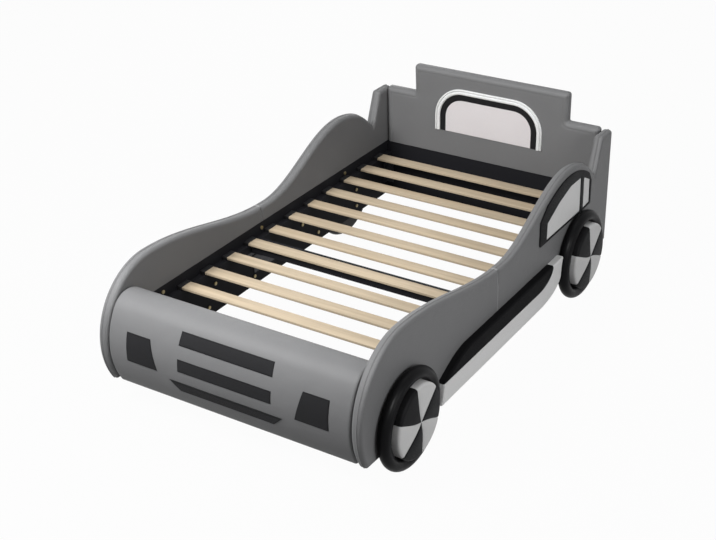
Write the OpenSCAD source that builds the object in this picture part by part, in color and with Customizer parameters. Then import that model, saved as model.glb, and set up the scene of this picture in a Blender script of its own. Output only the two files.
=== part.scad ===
// Car-shaped children's bed: padded side panels, headboard and footboard round a slatted bay,
// standing on four padded wheels. X runs across, Y from the nose (-) to the headboard (+), Z up.
// The origin is on the floor, below the middle of the bed. All lengths are in millimetres.

/* [Overall] */
// Length from the nose to the rear edges of the side panels
body_l = 2320; // [2260:10:2400]
// Clear width between the side panels, where the mattress lies
bay_w = 1210; // [1120:10:1300]
// Thickness of an upholstered side panel
side_t = 50; // [46:1:56]
// Height of the panels' lower edges above the floor
lift = 128; // [120:1:140]

/* [Side outline] */
// Height of the foremost point of the nose
nose_z = 304; // [296:1:312]
// How far the lower nose is tucked back behind its foremost point
nose_tuck = 48; // [36:1:60]
// Distance from the nose to the crest of the hood
hood_run = 320; // [306:2:334]
// Height of the crest of the hood
hood_z = 628; // [600:1:650]
// Distance from the nose to the lowest point of the door dip
dip_run = 1182; // [1150:2:1230]
// Height of the door dip
dip_z = 503; // [490:1:530]
// Height of the crest of the roof
roof_z = 704; // [690:1:730]
// Distance from the rear edge to the crest of the roof
roof_back = 498; // [480:2:516]
// Length of the quarter curve behind the roof crest
roof_run = 368; // [350:2:390]
// Height of the quarter curve behind the roof crest
roof_drop = 328; // [310:2:350]
// Distance from the rear edge to the foot of the tail fin
fin_foot = 186; // [176:1:196]
// Length of the level top of the tail fin
fin_top = 120; // [108:1:132]
// Height of the tail fin
fin_z = 728; // [715:1:745]
// Radius of the padded edges of the side panels
edge_r = 20; // [12:1:22]
// Distance from the nose to the seam between the front and rear side panels
seam_run = 1117; // [1100:1:1130]

/* [Panel build] */
// Thickness of the board inside each panel
board_t = 18; // [15:1:20]
// Padding between a board's edge and the outside of its panel
board_margin = 18; // [14:1:24]
// Height of the inside rails, where the upholstery of the bay begins
rail_z = 429; // [424:1:440]
// How far the rails stand out of the panels into the bay
rail_step = 2; // [1:1:5]

/* [Headboard] */
// Thickness of the upholstered headboard
head_t = 56; // [50:1:62]
// Height of the raised middle of the headboard
head_z = 888; // [868:2:910]
// Height of the headboard's shoulders
shoulder_z = 739; // [729:1:749]
// Width of the raised middle of the headboard
crown_w = 874; // [850:2:900]
// Radius of the headboard's padded edges
head_edge_r = 24; // [14:1:24]
// Radius of the headboard's outline corners
head_corner_r = 18; // [12:1:24]

/* [Rear window] */
// Width of the arched window over its border
arch_w = 612; // [590:2:640]
// Height of the window's lower edge
arch_z = 562; // [550:1:575]
// Height of the window's arch over its border
arch_h = 242; // [230:1:254]
// Radius of the arch's upper corners over its border
arch_r = 162; // [140:1:180]
// Width of the raised border
border_w = 30; // [24:1:36]
// Thickness of the raised border
border_t = 10; // [6:1:14]
// Width of the dark band inside the border
band_w = 32; // [26:1:38]
// Thickness of the dark band and of the pane
pane_t = 4; // [3:0.5:6]

/* [Footboard] */
// How far the footboard lies behind the side panels' nose
foot_recess = 5; // [3:1:8]
// Angle up the hood curve at which the footboard's top roll begins
roll_start = 33; // [30:1:36]
// Radius of the footboard's top roll
roll_r = 107; // [100:1:114]
// Thickness of the footboard's padded shell
foot_foam = 25; // [22:1:30]
// Number of shaped formers inside the footboard
former_count = 7; // [5:1:9]

/* [Front patches] */
// Thickness of the dark patches sewn on the footboard
patch_t = 2; // [1.5:0.5:3]
// Height of the headlamps' lower edges
lamp_z = 277; // [265:1:290]
// Height of the headlamps from lower to upper edge
lamp_h = 132; // [110:1:140]
// Distance from the middle of the bed to the headlamps' outer edges
lamp_out = 504; // [480:2:520]
// Width of a headlamp along its lower edge
lamp_low_w = 159; // [140:1:170]
// Width of a headlamp along its upper edge
lamp_top_w = 124; // [110:1:140]
// Height of the lower edge of the lowest grille bar
grille_z = 208; // [200:1:216]
// Height from the lowest to the highest edge of the three grille bars
grille_h = 269; // [250:1:275]
// Width of the middle grille bar
grille_w = 466; // [440:2:490]

/* [Sill] */
// How far the padded sill stands out of the side panel
sill_t = 35; // [28:1:40]
// Height of the sill's top edge
sill_z = 302; // [296:1:308]
// Gap between the front wheel and the sill
sill_gap = 38; // [30:1:50]
// Gap between the sill's rear end and the rear wheel
sill_rear_gap = 8; // [5:1:14]
// Length of the curve under the sill's rear end
sill_kick = 220; // [200:5:240]
// Length of the sloping front end of the sill's dark insert
insert_slope = 240; // [220:5:260]
// Height of the insert's lower edge
insert_z = 223; // [219:1:228]
// Distance from the sill's rear end to the rear tip of the insert
insert_back = 92; // [84:1:104]
// Length of the curve at the insert's rear end
insert_curve = 146; // [130:2:160]
// Radius of the sill's padded edges
sill_edge_r = 9; // [6:1:12]

/* [Side windows] */
// Distance from the rear edge to the window's rear end
win_back = 239; // [232:1:248]
// Length of the window
win_l = 560; // [545:1:570]
// Height of the window's lower edge
win_z = 430; // [428:1:438]
// Distance from the roof line down to the window
win_margin = 30; // [26:1:40]
// Thickness of the window frame and its panes
win_t = 6; // [4:1:8]

/* [Wheels] */
// Outer radius of the tyre
tyre_r = 220; // [214:1:226]
// Thickness of the tyre's padded ring
tyre_t = 58; // [52:1:62]
// Depth of the flat where a tyre stands on the floor
tyre_flat = 0.5; // [0.4:0.1:1]
// Distance from the nose to the front wheel's middle
front_wheel_run = 312; // [306:1:320]
// Distance from the rear edge to the rear wheel's middle
rear_wheel_back = 377; // [370:1:384]
// Thickness of the plywood disc behind each wheel
disc_t = 18; // [15:1:21]
// Radius of the plywood disc
disc_r = 200; // [194:1:206]
// Radius of the hub cushion
hub_r = 163; // [156:1:166]
// How far the hub's middle stands out of the side panel
hub_h = 84; // [78:1:90]
// How much the hub's face bulges
hub_crown = 6; // [4:1:12]
// Radius of the hub's padded rim
hub_edge_r = 12; // [8:1:18]
// Number of leather segments on a hub, half of each colour
segment_count = 6; // [4:2:8]
// How far the segments' seams swirl between the rim and the middle, in degrees
swirl = 10; // [4:1:20]
// Turn of the whole segment pattern, in degrees
segment_turn = 37; // [0:1:60]

/* [Slatted base] */
// Number of slats
slat_count = 12; // [10:1:13]
// Width of a slat
slat_w = 64; // [56:1:70]
// Thickness of a slat
slat_t = 12; // [10:1:14]
// Height of the slats' upper faces
slat_z = 386; // [380:1:392]
// Distance from the headboard to the first slat's middle
slat_back = 116; // [106:1:126]
// Distance from the footboard to the last slat's middle
slat_front = 80; // [72:1:92]
// Length of the plastic cap on each slat end
cap_l = 27; // [20:1:30]
// Wall of the caps
cap_wall = 2.5; // [2:0.5:3]
// Width of the ledges that carry the slats
ledge_w = 30; // [24:1:40]
// Height of the ledges that carry the slats
ledge_h = 40; // [30:1:50]
// Distance from the nose to the cross beam's middle
beam_run = 1020; // [1000:1:1040]
// Width of the cross beam
beam_w = 80; // [70:1:90]

/* [Fasteners] */
// Radius of a bolt's shank
bolt_r = 4; // [3:0.5:5]
// Radius of a bolt's head
head_r = 9; // [7:0.5:11]
// Thickness of a bolt's head
head_h = 5; // [3:0.5:6]
// Clearance round a bolt's shank
bolt_gap = 0.3; // [0.2:0.1:0.5]
// Depth to which the long bolts screw into the wheels and sills
bolt_bite = 14; // [8:1:15]
// Half the distance between a wheel's two bolts
wheel_bolt_half = 47; // [40:1:60]
// Height of the sill's bolts
sill_bolt_z = 174; // [160:1:190]
// Height of the insert's bolts
insert_bolt_z = 274; // [260:1:280]
// Height of the rails' upper bolts
rail_bolt_z = 402; // [398:1:412]
// Distance from the nose to the first of the upper bolts
rail_bolt_run = 371; // [360:1:390]
// Spacing of the upper bolts
rail_bolt_pitch = 733; // [700:1:745]
// Thickness of the steel plates and brackets
steel_t = 3; // [2:0.5:4]
// Length of a bracket's leg
bracket_leg = 40; // [30:1:40]
// Height of a corner bracket
bracket_h = 120; // [100:1:126]
// Length of a joining plate
plate_l = 180; // [150:1:200]
// Height of a joining plate
plate_h = 90; // [80:1:100]
// Height of the lower edges of the brackets and joining plates
steel_z = 192; // [190:1:196]
// How far a beam bracket reaches under the ledge and the beam
beam_reach = 90; // [70:2:120]
// Radius of a bracket screw's shank
screw_r = 2.5; // [2:0.5:3]
// Radius of a bracket screw's head
screw_head_r = 5; // [4:0.5:6]
// Thickness of a bracket screw's head
screw_head_h = 2.5; // [2:0.5:3]
// Depth to which a bracket screw enters its rail
screw_l = 14; // [10:1:15]

/* [Hidden] */
sides = ["left", "right"];
ends = ["front", "rear"];

// Overrun of every cutting shape past the face it cuts
over = 1;
// Steps of each padded edge, of each quarter curve and of each long sweep of the side outline
edge_steps = 3;
curve_steps = 10;
sweep_steps = 9;
// Share of the padded edge radius that shows at the seam between panels and at lower edges
seam_share = 0.2;
hem_share = 0.25;
// Sine of the turn below which two edges of an outline count as straight
flat_sine = 0.001;
// Facets that a true circle is drawn with in a preview
$fn = 72;

half_bay = bay_w / 2;
half_body = half_bay + side_t;
y_nose = -body_l / 2;
y_rear = body_l / 2;
y_head = y_rear - head_t;
y_seam = y_nose + seam_run;
side_foam = (side_t - board_t) / 2;
head_foam = (head_t - board_t) / 2;
wheel_z = tyre_r - tyre_flat;
y_front_wheel = y_nose + front_wheel_run;
y_rear_wheel = y_rear - rear_wheel_back;

// Side outline: a circle below the nose, a quarter ellipse over the hood, two eased sweeps through
// the door dip, a part ellipse behind the roof and a straight-edged fin
nose_h = nose_z - lift;
nose_r = (nose_h * nose_h + nose_tuck * nose_tuck) / (2 * nose_tuck);
nose_centre_y = y_nose + nose_r;
hood_y = y_nose + hood_run;
hood_rise = hood_z - nose_z;
dip_y = y_nose + dip_run;
roof_y = y_rear - roof_back;
roof_base_z = roof_z - roof_drop;
fin_y = y_rear - fin_foot;

function ease(y, a, b) = a[1] + (b[1] - a[1]) * (1 - cos(180 * (y - a[0]) / (b[0] - a[0]))) / 2;
function roof_fall_z(y) = roof_base_z + roof_drop * sqrt(1 - pow((y - roof_y) / roof_run, 2));
// Height of the side panel's upper edge between the hood crest and the fin
function top_z(y) =
    y < dip_y ? ease(y, [hood_y, hood_z], [dip_y, dip_z]) :
    y < roof_y ? ease(y, [dip_y, dip_z], [roof_y, roof_z]) :
    roof_fall_z(y);
function span(a, b, steps) = [for (i = [0:steps - 1]) a + (b - a) * i / steps];
// The upper edge from a to b, or nothing where b doesn't lie behind a
function sweep(a, b, steps) = a < b ? [for (y = span(a, b, steps)) [y, top_z(y)]] : [];
// The lower nose as an arc set back by d, from the lower edge up to the foremost point
function nose_arc(d) =
    let(r = nose_r - d, start = asin(nose_h / r))
    [for (a = span(start, 0, edge_steps + 1)) [nose_centre_y - r * cos(a), nose_z - r * sin(a)]];
// The hood as a quarter ellipse set back by d, from the foremost point up to an angle
function hood_arc(d, end) =
    [for (a = span(0, end, curve_steps))
        [hood_y - (hood_run - d) * cos(a), nose_z + (hood_rise - d) * sin(a)]];

// Both outlines run clockwise: up the front, over the top and down the rear. The seam may lie on
// either side of the dip
front_outline = concat(nose_arc(0), hood_arc(0, 90), sweep(hood_y, min(dip_y, y_seam), sweep_steps),
    sweep(dip_y, y_seam, 1), [[y_seam, top_z(y_seam)], [y_seam, lift]]);
rear_outline = concat([[y_seam, lift]], sweep(y_seam, dip_y, 1),
    sweep(max(dip_y, y_seam), roof_y, sweep_steps), sweep(roof_y, fin_y, sweep_steps - 1),
    [[fin_y, top_z(fin_y)], [y_rear - fin_top, fin_z], [y_rear, fin_z], [y_rear, lift]]);
front_n = len(front_outline);
rear_n = len(rear_outline);
// Share of the edge radius on each edge of an outline, edge i running from point i to the next
front_shares = [for (i = [0:front_n - 1])
    i == front_n - 1 ? hem_share : i == front_n - 2 ? seam_share : 1];
rear_shares = [for (i = [0:rear_n - 1]) i == 0 ? seam_share : i == rear_n - 1 ? hem_share : 1];

// A clockwise outline moved inwards, each edge by its own distance
function crossing(p, u, v, a, b) =
    let(c = u[0] * v[1] - u[1] * v[0])
    abs(c) < flat_sine ? p + [u[1], -u[0]] * (a + b) / 2 : p + (u * b - v * a) / c;
function unit(p) = p / norm(p);
function inset(outline, ds) =
    let(n = len(outline))
    [for (i = [0:n - 1])
        let(p = outline[i], u = unit(p - outline[(i + n - 1) % n]),
            v = unit(outline[(i + 1) % n] - p))
        crossing(p, u, v, ds[(i + n - 1) % n], ds[i])];

// A padded slab along X between x0 and x1, whose edges are rounded by r0 and r1. Its flat faces are
// fans of triangles round the core, a point from which the whole outline is in sight
module padded_slab(outline, shares, core, x0, x1, r0, r1) {
    n = len(outline);
    low = [for (a = [0:edge_steps]) [90 * a / edge_steps, x0, r0, 1]];
    high = [for (a = [edge_steps:-1:0]) [90 * a / edge_steps, x1, r1, -1]];
    rings = concat(r0 > 0 ? low : [low[0]], r1 > 0 ? high : [high[edge_steps]]);
    skin = [for (g = rings)
        let(d = g[2] * (1 - sin(g[0])), x = g[1] + g[3] * g[2] * (1 - cos(g[0])))
        for (p = inset(outline, shares * d)) [x, p[0], p[1]]];
    points = concat(skin, [for (x = [x0, x1]) [x, core[0], core[1]]]);
    last = len(rings) - 1;
    hub = len(skin);
    walls = [for (k = [0:last - 1], i = [0:n - 1])
        let(j = (i + 1) % n, a = k * n + i, b = k * n + j)
        each [[a, b + n, a + n], [a, b, b + n]]];
    caps = [for (i = [0:n - 1])
        let(j = (i + 1) % n)
        each [[hub, j, i], [hub + 1, last * n + i, last * n + j]]];
    polyhedron(points, concat(walls, caps), convexity = 6);
}

// Flat pieces cut from a sheet: along X from (y, z) points, and along Y from (x, z) points
module plate_x(x0, x1, points) {
    translate([x0, 0, 0]) rotate([90, 0, 90]) linear_extrude(x1 - x0) polygon(points);
}
module plate_y(y0, y1, points) {
    translate([0, y1, 0]) rotate([90, 0, 0]) linear_extrude(y1 - y0) polygon(points);
}
module box(low, high) {
    translate(low) cube(high - low);
}
module on_side(side) {
    if (side == "left") mirror([1, 0, 0]) children();
    else children();
}
// A round bar along X
module bar_x(x0, x1, y, z, r) {
    translate([x0, y, z]) rotate([0, 90, 0]) cylinder(h = x1 - x0, r = r);
}

// Places of the bolts that run from the bay out through a side, as [y, z]
sill_y0 = y_front_wheel + tyre_r + sill_gap;
sill_y1 = y_rear_wheel - tyre_r - sill_rear_gap;
sill_l = sill_y1 - sill_y0;
sill_bolt_shares = [0.09, 0.4, 0.88];
insert_bolt_shares = [0.14, 0.76];
wheel_bolt_places = [for (y = [y_front_wheel, y_rear_wheel], s = [-1, 1])
    [y, wheel_z + s * wheel_bolt_half]];
sill_bolt_places = concat(
    [for (s = sill_bolt_shares) [sill_y0 + s * sill_l, sill_bolt_z]],
    [for (s = insert_bolt_shares) [sill_y0 + s * sill_l, insert_bolt_z]]);
rail_bolt_places = [for (i = [0:2]) [y_nose + rail_bolt_run + i * rail_bolt_pitch, rail_bolt_z]];
long_bolt_places = concat(wheel_bolt_places, sill_bolt_places);
rail_x = half_bay - rail_step;
board_x = half_bay + side_foam;

module bolt_bores(x0, x1, places) {
    for (p = places) bar_x(x0, x1, p[0], p[1], bolt_r + bolt_gap);
}
module bolts(x1, places) {
    for (p = places) {
        bar_x(rail_x, x1, p[0], p[1], bolt_r);
        bar_x(rail_x - head_h, rail_x, p[0], p[1], head_r);
    }
}

// Places of the bracket screws: along X into the side rails as [y, z], and along Y into the head and
// foot rails as [x, z]
ledge_z = slat_z - slat_t - cap_wall;
beam_y = y_nose + beam_run;
beam_z = slat_z - slat_t;
beam_low_z = ledge_z - ledge_h;
y_bay = roll_centre()[0] + roll_r;
y_foot_face = y_bay + rail_step;
y_head_face = y_head - rail_step;
screw_shares = [0.25, 0.75];
plate_screw_shares = [0.14, 0.86];
bracket_screw_zs = [for (s = screw_shares) steel_z + s * bracket_h];
side_screw_places = concat(
    [for (y = [y_foot_face + bracket_leg / 2, y_head_face - bracket_leg / 2], z = bracket_screw_zs)
        [y, z]],
    [for (a = plate_screw_shares, b = screw_shares)
        [y_seam + (a - 0.5) * plate_l, steel_z + b * plate_h]],
    [for (a = screw_shares) [beam_y + (a - 0.5) * beam_w, beam_low_z - bracket_leg / 2]]);
end_screw_places = [for (z = bracket_screw_zs) [rail_x - bracket_leg / 2, z]];

module screw_bores(x0, x1) {
    for (p = side_screw_places) bar_x(x0, x1, p[0], p[1], screw_r + bolt_gap);
}
module end_screw_bores(y0, y1) {
    for (s = sides, p = end_screw_places) on_side(s)
        translate([p[0], y1, p[1]]) rotate([90, 0, 0]) cylinder(h = y1 - y0, r = screw_r + bolt_gap);
}
// A screw along +Z: its head below the steel, its shank through the steel into the wood
module screw() {
    cylinder(h = steel_t + screw_l, r = screw_r);
    translate([0, 0, -screw_head_h]) cylinder(h = screw_head_h, r = screw_head_r);
}

// Side panels
function board_outline(outline, shares, seam_edge, hem_edge) =
    inset(outline, [for (i = [0:len(outline) - 1])
        i == seam_edge || i == hem_edge ? 0 : board_margin]);
front_board = board_outline(front_outline, front_shares, front_n - 2, front_n - 1);
rear_board = board_outline(rear_outline, rear_shares, 0, rear_n - 1);
front_pocket = inset(front_outline, [for (i = [0:front_n - 1])
    i >= front_n - 2 ? -over : board_margin]);
rear_pocket = inset(rear_outline, [for (i = [0:rear_n - 1])
    i == 0 || i == rear_n - 1 ? -over : board_margin]);

module side_pad(outline, shares, core, pocket) {
    color([0.42, 0.42, 0.43]) difference() {
        padded_slab(outline, shares, core, half_bay, half_body, edge_r, edge_r);
        plate_x(board_x, board_x + board_t, pocket);
        box([half_bay - over, y_bay, lift - over], [board_x, y_head, rail_z]);
        bolt_bores(board_x + board_t / 2, half_body + over, long_bolt_places);
    }
}
module side_board(points) {
    color([0.72, 0.6, 0.44]) difference() {
        plate_x(board_x, board_x + board_t, points);
        bolt_bores(board_x - over, board_x + board_t + over, long_bolt_places);
        bolt_bores(board_x - over, board_x + board_t - steel_t, rail_bolt_places);
    }
}
front_core = [hood_y + hood_run / 2, nose_z];
rear_core = [fin_y - side_t, wheel_z];
module side_front_pad() { side_pad(front_outline, front_shares, front_core, front_pocket); }
module side_rear_pad() { side_pad(rear_outline, rear_shares, rear_core, rear_pocket); }
module side_front_board() { side_board(front_board); }
module side_rear_board() { side_board(rear_board); }

// Rails inside the bay, and the ledges that carry the slats
module inner_rail() {
    color([0.08, 0.08, 0.08]) difference() {
        box([rail_x, y_bay, lift], [board_x, y_head, rail_z]);
        bolt_bores(rail_x - over, board_x + over, concat(long_bolt_places, rail_bolt_places));
        screw_bores(rail_x - over, rail_x + screw_l + bolt_gap);
    }
}
module slat_ledge() {
    color([0.07, 0.07, 0.07])
        box([rail_x - ledge_w, y_foot_face, beam_low_z], [rail_x, y_head_face, ledge_z]);
}
module head_rail() {
    color([0.08, 0.08, 0.08]) difference() {
        box([-rail_x, y_head_face, lift], [rail_x, y_head + head_foam, rail_z]);
        end_screw_bores(y_head_face - over, y_head_face + screw_l + bolt_gap);
    }
}
module foot_rail() {
    color([0.08, 0.08, 0.08]) difference() {
        box([-rail_x, y_bay - foot_foam, lift], [rail_x, y_foot_face, rail_z]);
        end_screw_bores(y_foot_face - screw_l - bolt_gap, y_foot_face + over);
    }
}

// Headboard: a stepped outline with small corner arcs, clockwise from the lower left
crown_half = crown_w / 2;
function corner(c, r, a) = [for (i = [0:edge_steps])
    let(t = a - 90 * i / edge_steps) [c[0] + r * cos(t), c[1] + r * sin(t)]];
function head_left() = concat([[-half_bay, lift]],
    corner([-half_bay + head_corner_r, shoulder_z - head_corner_r], head_corner_r, 180),
    [[-crown_half, shoulder_z]],
    corner([-crown_half + head_corner_r, head_z - head_corner_r], head_corner_r, 180));
function mirrored(points) = [for (i = [len(points) - 1:-1:0]) [-points[i][0], points[i][1]]];
head_outline = concat(head_left(), mirrored(head_left()));
head_n = len(head_outline);
head_shares = [for (i = [0:head_n - 1]) i == head_n - 1 ? hem_share : 1];
// The board inside keeps square corners; it and its pocket differ along the lower edge only
function steps_left() = [[-half_bay, lift], [-half_bay, shoulder_z], [-crown_half, shoulder_z],
    [-crown_half, head_z]];
function head_inset(low) = let(steps = concat(steps_left(), mirrored(steps_left())))
    inset(steps, [for (i = [1:len(steps)]) i == len(steps) ? low : board_margin + head_corner_r]);
head_pocket = head_inset(-over);
head_board = head_inset(0);

module headboard_pad() {
    color([0.45, 0.45, 0.46]) difference() {
        rotate([0, 0, 90]) mirror([0, 1, 0])
            padded_slab(head_outline, head_shares, [0, arch_z], y_head, y_rear, head_edge_r, head_edge_r);
        plate_y(y_head + head_foam, y_head + head_foam + board_t, head_pocket);
        box([-rail_x, y_head - over, lift - over], [rail_x, y_head + head_foam, rail_z]);
    }
}
module headboard_board() {
    color([0.72, 0.6, 0.44])
        plate_y(y_head + head_foam, y_head + head_foam + board_t, head_board);
}

// Arched window: each ring is the arch set in by its distance from the outer edge
function arch(d) =
    let(w = arch_w / 2 - d, h = arch_h - d, r = arch_r - d)
    concat([[-w, arch_z]],
        [for (a = [180:-90 / curve_steps:90])
            [-w + r + r * cos(a), arch_z + h - r + r * sin(a)]],
        [for (a = [90:-90 / curve_steps:0])
            [w - r + r * cos(a), arch_z + h - r + r * sin(a)]],
        [[w, arch_z]]);
function half_ring(a, b) = concat(arch(a), [for (i = [len(arch(b)) - 1:-1:0]) arch(b)[i]]);
module window_border() {
    color([0.9, 0.9, 0.9]) plate_y(y_head - border_t, y_head, half_ring(0, border_w));
}
module window_band() {
    color([0.2, 0.2, 0.2]) plate_y(y_head - pane_t, y_head, half_ring(border_w, border_w + band_w));
}
module window_pane() {
    color([0.84, 0.82, 0.82]) plate_y(y_head - pane_t, y_head, arch(border_w + band_w));
}

// Footboard: the nose and hood curves set back, then a round roll that leads into the rear face
function roll_point() = [hood_y - (hood_run - foot_recess) * cos(roll_start),
    nose_z + (hood_rise - foot_recess) * sin(roll_start)];
function roll_normal() = unit([(hood_rise - foot_recess) * cos(roll_start),
    -(hood_run - foot_recess) * sin(roll_start)]);
function roll_centre() = roll_point() + roll_r * roll_normal();
function foot_curve(d) =
    let(c = roll_centre(), n = roll_normal(), a = 180 - asin(-n[1]), r = roll_r - d)
    concat(nose_arc(foot_recess + d), hood_arc(foot_recess + d, roll_start),
        [for (t = span(a, 0, curve_steps)) c + r * [cos(t), sin(t)]], [c + [r, 0]]);
function foot_profile(d, low) =
    let(curve = foot_curve(d)) concat([[curve[0][0], low]], curve, [[y_bay - d, low]]);

module footboard_pad() {
    color([0.42, 0.42, 0.43]) difference() {
        plate_x(-half_bay, half_bay, foot_profile(0, lift));
        plate_x(-half_bay + foot_foam, half_bay - foot_foam, foot_profile(foot_foam, lift - over));
        box([-rail_x, y_bay - foot_foam, lift - over], [rail_x, y_bay + over, rail_z]);
    }
}
module footboard_formers() {
    first = -half_bay + foot_foam;
    pitch = (bay_w - 2 * foot_foam - board_t) / (former_count - 1);
    color([0.72, 0.6, 0.44])
        for (i = [0:former_count - 1])
            plate_x(first + i * pitch, first + i * pitch + board_t, foot_profile(foot_foam, lift));
}
// A dark patch that follows the footboard's front curve inside a (x, z) outline
module front_patch(points) {
    intersection() {
        difference() {
            plate_x(-half_bay, half_bay, foot_profile(-patch_t, lift));
            plate_x(-half_bay - over, half_bay + over, foot_profile(0, lift - over));
        }
        plate_y(y_nose - roll_r, roll_centre()[0], points);
    }
}
// Each bar as shares: its lower and upper edge up the grille, its half widths below and above
grille_shares = [[0, 0.178, 0.506, 0.61], [0.379, 0.587, 0.5, 0.5], [0.796, 1, 0.5, 0.493]];
module grille_patches() {
    color([0.14, 0.14, 0.14]) for (b = grille_shares) {
        z0 = grille_z + b[0] * grille_h;
        z1 = grille_z + b[1] * grille_h;
        low = b[2] * grille_w;
        high = b[3] * grille_w;
        front_patch([[-low, z0], [low, z0], [high, z1], [-high, z1]]);
    }
}
module headlamp_patches() {
    color([0.14, 0.14, 0.14]) for (s = sides) on_side(s)
        front_patch([[lamp_out - lamp_low_w, lamp_z], [lamp_out, lamp_z],
            [lamp_out, lamp_z + lamp_h], [lamp_out - lamp_top_w, lamp_z + lamp_h]]);
}

// Sill: a padded bar along the lower edge, split into a pale pad and a dark insert
kick_y = sill_y1 - sill_kick;
wheel_clear_r = tyre_r + sill_rear_gap;
sill_outline = concat([[sill_y0, lift]],
    [for (t = span(90, 0, curve_steps))
        [sill_y0 + sill_gap / 2 + insert_slope * (1 - t / 90), insert_z + (sill_z - insert_z) * cos(t)]],
    [[sill_y0 + sill_gap / 2 + insert_slope, sill_z]],
    [for (a = span(asin((sill_z - wheel_z) / wheel_clear_r), 0, edge_steps))
        [y_rear_wheel - wheel_clear_r * cos(a), wheel_z + wheel_clear_r * sin(a)]],
    [for (a = span(0, 90, curve_steps))
        [kick_y + sill_kick * cos(a), wheel_z - (wheel_z - lift) * sin(a)]],
    [[kick_y, lift]]);
sill_shares = [for (i = [0:len(sill_outline) - 1]) 1];
insert_y = sill_y1 - insert_back - insert_curve;
insert_outline = concat([[sill_y0 - over, insert_z], [sill_y0 - over, sill_z + over]],
    [[insert_y + insert_curve, sill_z + over]],
    [for (a = span(0, 90, curve_steps))
        [insert_y + insert_curve * cos(a), sill_z - (sill_z - insert_z) * sin(a)]],
    [[insert_y, insert_z]]);

module sill_form() {
    difference() {
        padded_slab(sill_outline, sill_shares, [y_seam, sill_bolt_z],
            half_body, half_body + sill_t, 0, sill_edge_r);
        bolt_bores(half_body - over, half_body + bolt_bite + over, sill_bolt_places);
    }
}
module sill_pad() {
    color([0.72, 0.72, 0.72]) difference() {
        sill_form();
        plate_x(half_body - over, half_body + sill_t + over, insert_outline);
    }
}
module sill_insert() {
    color([0.12, 0.12, 0.12]) intersection() {
        sill_form();
        plate_x(half_body - over, half_body + sill_t + over, insert_outline);
    }
}

// Side window: a dark frame under the roof line with two pale panes
win_y0 = y_rear - win_back - win_l;
win_h = roof_z - win_margin - win_z;
win_front_shares = [[0, 0], [0, 0.52]];
win_rear_shares = [[1, 0.51], [1, 0]];
win_curve_shares = [0.12, 0.945];
front_pane_shares = [[0.125, 0.05], [0.13, 0.39], [0.345, 0.62], [0.56, 0.76],
    [0.765, 0.76], [0.775, 0.04]];
rear_pane_shares = [[0.84, 0.04], [0.83, 0.71], [0.955, 0.56], [0.965, 0.06]];
function in_window(shares) = [for (s = shares) [win_y0 + s[0] * win_l, win_z + s[1] * win_h]];
win_spots = span(win_curve_shares[0], win_curve_shares[1], curve_steps);
win_top = [for (s = concat(win_spots, [win_curve_shares[1]]))
    let(y = win_y0 + s * win_l) [y, top_z(y) - win_margin]];
win_outline = concat(in_window(win_front_shares), win_top, in_window(win_rear_shares));
// Clearance between the window and the tyre in front of it
win_gap = 1;
// The tyre's padded ring reaches this far from its axle at the thickness of the window
ring_r = tyre_t / 2;
ring_at_win = tyre_r - ring_r + sqrt(max(0, pow(ring_r, 2) - pow(ring_r - win_t, 2)));
module wheel_bite() {
    bar_x(half_body - over, half_body + win_t + over, y_rear_wheel, wheel_z,
        ring_at_win + win_gap);
}
module side_window_frame() {
    color([0.13, 0.13, 0.13]) difference() {
        plate_x(half_body, half_body + win_t, win_outline);
        for (pane = [front_pane_shares, rear_pane_shares])
            plate_x(half_body - over, half_body + win_t + over, in_window(pane));
        wheel_bite();
    }
}
module side_window_panes() {
    color([0.68, 0.68, 0.68]) difference() {
        for (pane = [front_pane_shares, rear_pane_shares])
            plate_x(half_body, half_body + win_t, in_window(pane));
        wheel_bite();
    }
}

// Wheels: a plywood disc, a padded ring seated on its rim, and a crowned hub of swirled segments
fit_gap = 0.3;
hub_ball_r = (hub_r * hub_r + hub_crown * hub_crown) / (2 * hub_crown);
hub_ball_x = hub_h - hub_ball_r;
rim_centre_r = hub_r - hub_edge_r;
rim_centre_x = hub_ball_x + sqrt(pow(hub_ball_r - hub_edge_r, 2) - pow(rim_centre_r, 2));
rim_touch_r = rim_centre_r * hub_ball_r / (hub_ball_r - hub_edge_r);

function wheel_y(end) = end == "front" ? y_front_wheel : y_rear_wheel;
module at_wheel(end) {
    translate([half_body, wheel_y(end), wheel_z]) rotate([90, 0, 90]) children();
}
module wheel_disc(end) {
    color([0.1, 0.1, 0.1]) difference() {
        at_wheel(end) cylinder(h = disc_t, r = disc_r);
        bolt_bores(half_body - over, half_body + bolt_bite + over, wheel_bolt_places);
    }
}
module tyre(end) {
    color([0.13, 0.13, 0.13]) difference() {
        at_wheel(end) difference() {
            rotate_extrude() translate([tyre_r - ring_r, ring_r]) circle(r = ring_r);
            translate([0, 0, -over]) cylinder(h = disc_t + over, r = disc_r + fit_gap);
            cylinder(h = tyre_t + over, r = hub_r + fit_gap);
        }
        box([half_body - over, wheel_y(end) - tyre_r, -tyre_r],
            [half_body + tyre_t + over, wheel_y(end) + tyre_r, 0]);
    }
}
// The hub cushion as a turned solid: a shallow dome with a rounded rim
module hub_form() {
    rotate_extrude() intersection() {
        translate([0, hub_ball_x]) circle(r = hub_ball_r, $fn = 360);
        union() {
            translate([0, disc_t]) square([hub_r, rim_centre_x - disc_t]);
            translate([0, disc_t]) square([rim_touch_r, hub_h - disc_t]);
            translate([rim_centre_r, rim_centre_x]) circle(r = hub_edge_r);
        }
    }
}
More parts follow.
